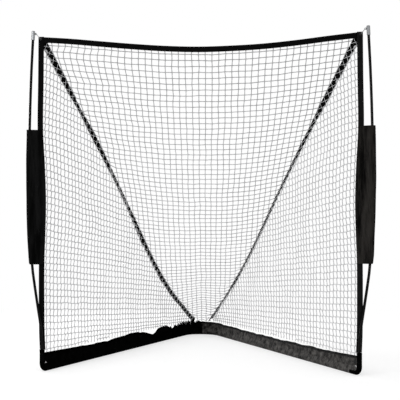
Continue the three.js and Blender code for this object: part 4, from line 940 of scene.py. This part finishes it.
def leg_station(side, s):
    """Centre of the tube and the outward direction, at a distance along the leg."""
    if s <= LEG_LENGTH:
        along = leg_point(side, 1, 0) - leg_point(side, 0, 0)
        return leg_point(side, s, TUBE_Z), np.cross(along, Z) * side
    angle = LEG_ANGLE + (s - LEG_LENGTH) / REAR_RADIUS
    x = side * REAR_RADIUS * math.cos(angle)
    centre = np.array([x, REAR_Y - REAR_RADIUS * (1 - math.sin(angle)), TUBE_Z])
    return centre, np.array([side * math.cos(angle), math.sin(angle), 0.0])


def skirt_section(side, s, height, crinkle, ripple):
    """Offsets outwards and up of one cross-section, from the outer top edge round to the inner one."""
    share = s / SKIRT_RUN
    lean = FLANGE_LEAN * ripple.at(s * 5.5, 1) * smooth((share - 0.02) * 9)
    rise = min(POCKET_RISE, height * 0.45)
    half = CLOTH + CLEARANCE / 2

    def off_axis(sign, off, up, loose):
        bend = (up / height) ** 2
        face = 7 if sign > 0 else 23
        crease = CRINKLE * crinkle.at(s * 46 + up * 30, up * 60 + face)
        crease += CREASE * ripple.at(s * 16 + up * 22, up * 25 + face)
        return sign * off + lean * bend + sign * loose * CREASE_SHARE[side] * crease, up

    def face(sign):
        rows = []
        for k in range(FACE_POINTS):
            up = height - (height - rise) * k / (FACE_POINTS - 1)
            hem = HEM_FOLD if height - up < HEM else 0.0
            rows.append(off_axis(sign, half + hem, up, 0.0 if k == 0 else 1.0))
        for k in range(1, TENT_POINTS + 1):
            w = k / (TENT_POINTS + 1)
            rows.append(off_axis(sign, half + (COVER_R - half) * w**0.8, rise * (1 - w), 1 - w))
        return rows

    turns = [-math.pi * k / ARC_POINTS for k in range(ARC_POINTS + 1)]
    under = [(COVER_R * math.cos(a), COVER_R * math.sin(a)) for a in turns]
    return face(1) + under + face(-1)[::-1]


def skirt(side):
    name = SIDES[side]
    crinkle, ripple = Noise(41 + side), Noise(51 + side)
    rings, uvs = [], []
    stations = int(SKIRT_RUN / SKIRT_STATION)
    end = SKIRT_RUN + (REAR_LAP if side < 0 else 0.0)
    for i in range(stations + 1):
        s = SKIRT_START + (end - SKIRT_START) * i / stations
        share = s / SKIRT_RUN
        centre, out = leg_station(side, s)
        if s < CORNER_RADIUS:
            centre[2] += CORNER_RADIUS - math.sqrt(CORNER_RADIUS**2 - (CORNER_RADIUS - s) ** 2)
        top = skirt_top[side](share) + EDGE_WAVER * crinkle.at(s * 21, 3) * smooth(share * 4)
        if side < 0 and share > RUFFLES_FROM:
            top += RUFFLE * ripple.at(s * 62, 8)
        height = max(top - centre[2], LEAST_FLANGE)
        section = skirt_section(side, s, height, crinkle, ripple)
        lap = LAP_OUT if s > SKIRT_RUN - 2 * REAR_LAP and side < 0 else 1.0
        ring = [centre + out * off * lap + Z * max(up, -centre[2]) for off, up in section]
        steps = [math.dist(a, b) for a, b in zip(section, section[1:])]
        run = np.cumsum([0.0, *steps])
        uvs += [(min(r, run[-1] - r), s) for r in run]
        rings.append(ring)
    points, faces = loft(rings, closed=False)
    cloth = mesh_piece(f"skirt_{name}_cloth", points, faces, SKIRT_LOOKS[side], uvs)
    thicken(cloth, CLOTH)
    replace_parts(cloth, f"skirt_{name}")
    corner_pocket(side)


def corner_pocket(side):
    """The sewn tube of cloth that turns up with the base tube, and ends in a small turned-in hem."""
    soft = Noise(61 + side)
    sides, start, hem, turned_in = 28, 0.085, 0.012, 0.02
    route = [(start - (start - CORNER_RADIUS) * k / 4, 0.0) for k in range(5)]
    for k in range(1, 11):
        a = math.pi / 2 * k / 10
        route.append((CORNER_RADIUS * (1 - math.sin(a)), CORNER_RADIUS * (1 - math.cos(a))))
    upright = POCKET_TOP - TUBE_Z - CORNER_RADIUS
    route += [(0.0, CORNER_RADIUS + upright * k / 11) for k in range(1, 12)]
    centres = [leg_station(side, s)[0] + Z * up for s, up in route]
    rings, uvs, length = [], [], 0.0
    for i, (c, (a, n)) in enumerate(zip(centres, frames_along(centres))):
        if i:
            length += float(np.linalg.norm(c - centres[i - 1]))
        ring = []
        for k in range(sides):
            w = 2 * math.pi * k / sides
            r = COVER_R + 0.0007 * abs(soft.at(k * 0.6, length * 60))
            r += 0.0008 if c[2] > POCKET_TOP - hem else 0.0
            q = c + r * (math.cos(w) * a + math.sin(w) * n)
            q[2] = max(q[2], 0.0)
            ring.append(q)
            uvs.append((HEM + r * w, length))
        rings.append(ring)
    inner = [centres[-1] + (q - centres[-1]) * 0.905 for q in rings[-1]]
    rings += [inner, [q - Z * turned_in for q in inner]]
    uvs += [(HEM, length)] * (2 * sides)
    points, faces = loft(rings, caps=False)
    mesh_piece(f"corner_pocket_{SIDES[side]}", points, faces, SKIRT_LOOKS[-1], uvs)


# Sleeves: cloth round the pole, sewn to the border, with soft upright folds
# Where its front and back lie: [share across from the border, share of the depth from the back]
sleeve_front = smooth_through(
    [[0, 0.14], [0.12, 0.27], [0.24, 0.36], [0.36, 0.54], [0.48, 0.66], [0.6, 0.82], [0.74, 0.98],
     [0.85, 1], [0.94, 0.88], [1, 0.58]]
)
sleeve_back = smooth_through([[0, 0], [0.4, 0], [0.8, 0.0], [0.93, 0.05], [1, 0.3]])
SLEEVE_LEVELS = 90
SLEEVE_ACROSS = 24
SLEEVE_HEM = 0.014
SLEEVE_PUCKER, SLEEVE_SWAY = 0.002, 0.0014  # of the outer edge
SLEEVE_CORNER = {-1: 0.002, 1: 0.004}  # the lower outer corner is drawn in by this
SLEEVE_FOLD, SLEEVE_CREASE = 0.0024, 0.0009


def sleeve_row(side, z, up, length, fold, crease):
    """Front and back of the sleeve at one height, as places in the ground plan of the right side."""
    inner = border_x(z) - BORDER_WIDTH / 2
    from_end = min(up, 1 - up) * length
    pucker = SLEEVE_PUCKER * math.exp(-from_end / 0.024) * fold.at(up * 90, 5)
    corner = SLEEVE_CORNER[side] * math.exp(-up * length / 0.016)
    outer = pole_x(z) + SLEEVE_OUTSIDE + pucker + SLEEVE_SWAY * fold.at(z * 9, 2) - corner
    hem = 0.0007 if from_end < SLEEVE_HEM else 0.0
    row = []
    for k in range(SLEEVE_ACROSS + 1):
        a = k / SLEEVE_ACROSS
        soft = SLEEVE_FOLD * fold.at(a * 6.5 + 0.25 * math.sin(z * 4), z * 2.2)
        soft += SLEEVE_CREASE * crease.at(a * 14, z * 16)
        soft *= math.sin(math.pi * min(a / 0.9, 1.0)) * (1 - 0.5 * math.exp(-from_end / 0.016))
        y = SLEEVE_HALF - sleeve_front(a) * 2 * SLEEVE_HALF + soft - hem
        row.append((inner + a * (outer - inner), y))
    for k in range(SLEEVE_ACROSS + 1):
        a = 1 - k / SLEEVE_ACROSS
        seam = 0.0006 if k == 0 else 0.0
        row.append((inner + a * (outer - inner) + seam, SLEEVE_HALF - sleeve_back(a) * 2 * SLEEVE_HALF))
    return row


def sleeve(side):
    name = SIDES[side]
    low, high = SLEEVE_BOTTOM - SLEEVE_LOW[side], SLEEVE_TOP - SLEEVE_LOW[side]
    fold, crease = Noise(71 + side), Noise(81 + side)
    rings, uvs = [], []
    for i in range(SLEEVE_LEVELS + 1):
        up = i / SLEEVE_LEVELS
        z = low + (high - low) * up
        row = sleeve_row(side, z, up, high - low, fold, crease)
        steps = [math.dist(a, b) for a, b in zip(row, row[1:])]
        uvs += [(run, z) for run in np.cumsum([0.0, *steps])]
        rings.append([np.array([side * x, FRONT_Y + y, z]) for x, y in row])
    points, faces = loft(rings, caps=False)
    cloth = mesh_piece(f"pole_sleeve_{name}_cloth", points, faces, SLEEVE_LOOKS[side], uvs)
    thicken(cloth, CLOTH)
    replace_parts(cloth, f"pole_sleeve_{name}")


# Stage
FLOOR_NEAR, FLOOR_FAR = 1.9, 3.6  # the floor turns to plain white between these distances
FLOOR_PLAIN = 0.55  # share of plain white nearer than that, which lightens the shadows
FLOOR_LIT, FLOOR_SEEN = 0.85, 1.18  # its grey where it lights the goal, and as seen
AMBIENT = 0.8


def seen_rays(tree):
    """1 for rays from the camera, by a mirror or glass too, and 0 for the rest."""
    rays = tree.nodes.new("ShaderNodeLightPath")
    seen = rays.outputs["Is Camera Ray"]
    for kind in ("Is Glossy Ray", "Is Transmission Ray"):
        either = tree.nodes.new("ShaderNodeMath")
        either.operation = "MAXIMUM"
        tree.links.new(seen, either.inputs[0])
        tree.links.new(rays.outputs[kind], either.inputs[1])
        seen = either.outputs[0]
    return seen


def floor_look():
    n = Look("floor_look")
    seen = seen_rays(n.tree)
    n.colour(n.mix(seen, grey(FLOOR_LIT), grey(FLOOR_SEEN)))
    n.set(Roughness=1.0, Specular_IOR_Level=0.0)
    away = n.tree.nodes.new("ShaderNodeVectorMath")
    away.operation = "LENGTH"
    n.link(n.coords("Object"), away.inputs[0])
    far = n.tree.nodes.new("ShaderNodeMapRange")
    far.interpolation_type = "SMOOTHSTEP"
    far.inputs["From Min"].default_value = FLOOR_NEAR
    far.inputs["From Max"].default_value = FLOOR_FAR
    far.inputs["To Min"].default_value = FLOOR_PLAIN
    n.link(away.outputs["Value"], far.inputs["Value"])
    white = n.tree.nodes.new("ShaderNodeEmission")
    both = n.tree.nodes.new("ShaderNodeMixShader")
    n.link(n.times(far.outputs[0], seen), both.inputs[0])
    n.link(n.shader.outputs[0], both.inputs[1])
    n.link(white.outputs[0], both.inputs[2])
    n.link(both.outputs[0], n.tree.nodes["Material Output"].inputs["Surface"])
    return n.material


def floor():
    reach = 30
    mesh = bpy.data.meshes.new("floor")
    corners = [(-reach, -reach, 0), (reach, -reach, 0), (reach, reach, 0), (-reach, reach, 0)]
    mesh.from_pydata(corners, [], [(0, 1, 2, 3)])
    mesh.materials.append(floor_look())
    piece = bpy.data.objects.new("floor", mesh)
    bpy.context.scene.collection.objects.link(piece)


def studio_world():
    world = bpy.data.worlds.new("studio")
    bpy.context.scene.world = world
    world.use_nodes = True
    tree = world.node_tree
    level = tree.nodes.new("ShaderNodeMapRange")
    level.inputs["To Min"].default_value = AMBIENT
    level.inputs["To Max"].default_value = 1.0
    tree.links.new(seen_rays(tree), level.inputs["Value"])
    back = tree.nodes["Background"]
    back.inputs["Color"].default_value = (1, 1, 1, 1)
    tree.links.new(level.outputs[0], back.inputs["Strength"])


def area_light(name, place, target, size, power):
    data = bpy.data.lights.new(name, "AREA")
    data.shape = "SQUARE"
    data.size = size
    data.energy = power
    light = bpy.data.objects.new(name, data)
    light.location = place
    light.rotation_euler = (Vector(target) - Vector(place)).to_track_quat("-Z", "Y").to_euler()
    bpy.context.scene.collection.objects.link(light)


def camera():
    """The photo's camera, as fitted to the goal in it."""
    data = bpy.data.cameras.new("camera")
    data.sensor_width = 36
    data.lens = 73.5
    data.shift_x = 0.1205
    data.shift_y = 0.0233
    data.clip_end = 200
    eye = bpy.data.objects.new("camera", data)
    eye.location = (0.0609, -5.6278, 0.7502)
    eye.rotation_euler = (math.pi / 2 + 0.0383, -0.0016, 0.0702)
    bpy.context.scene.collection.objects.link(eye)
    bpy.context.scene.camera = eye


dress_carried_nodes()
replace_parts(back_net(), "net_back")
mouth_borders()
for side, name in SIDES.items():
    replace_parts(side_net(side), f"net_side_{name}")
    seam_strap(side)
    seam_lacing(side)
    skirt(side)
    sleeve(side)

floor()
studio_world()
area_light("back_left", (-4.4, 3.8, 1.8), (0.5, 0.0, 0.3), size=2.0, power=120)
area_light("front_left", (-2.6, -3.8, 2.2), (0.9, -0.6, 0.5), size=1.2, power=40)
camera()
bpy.context.scene.view_settings.view_transform = "Standard"
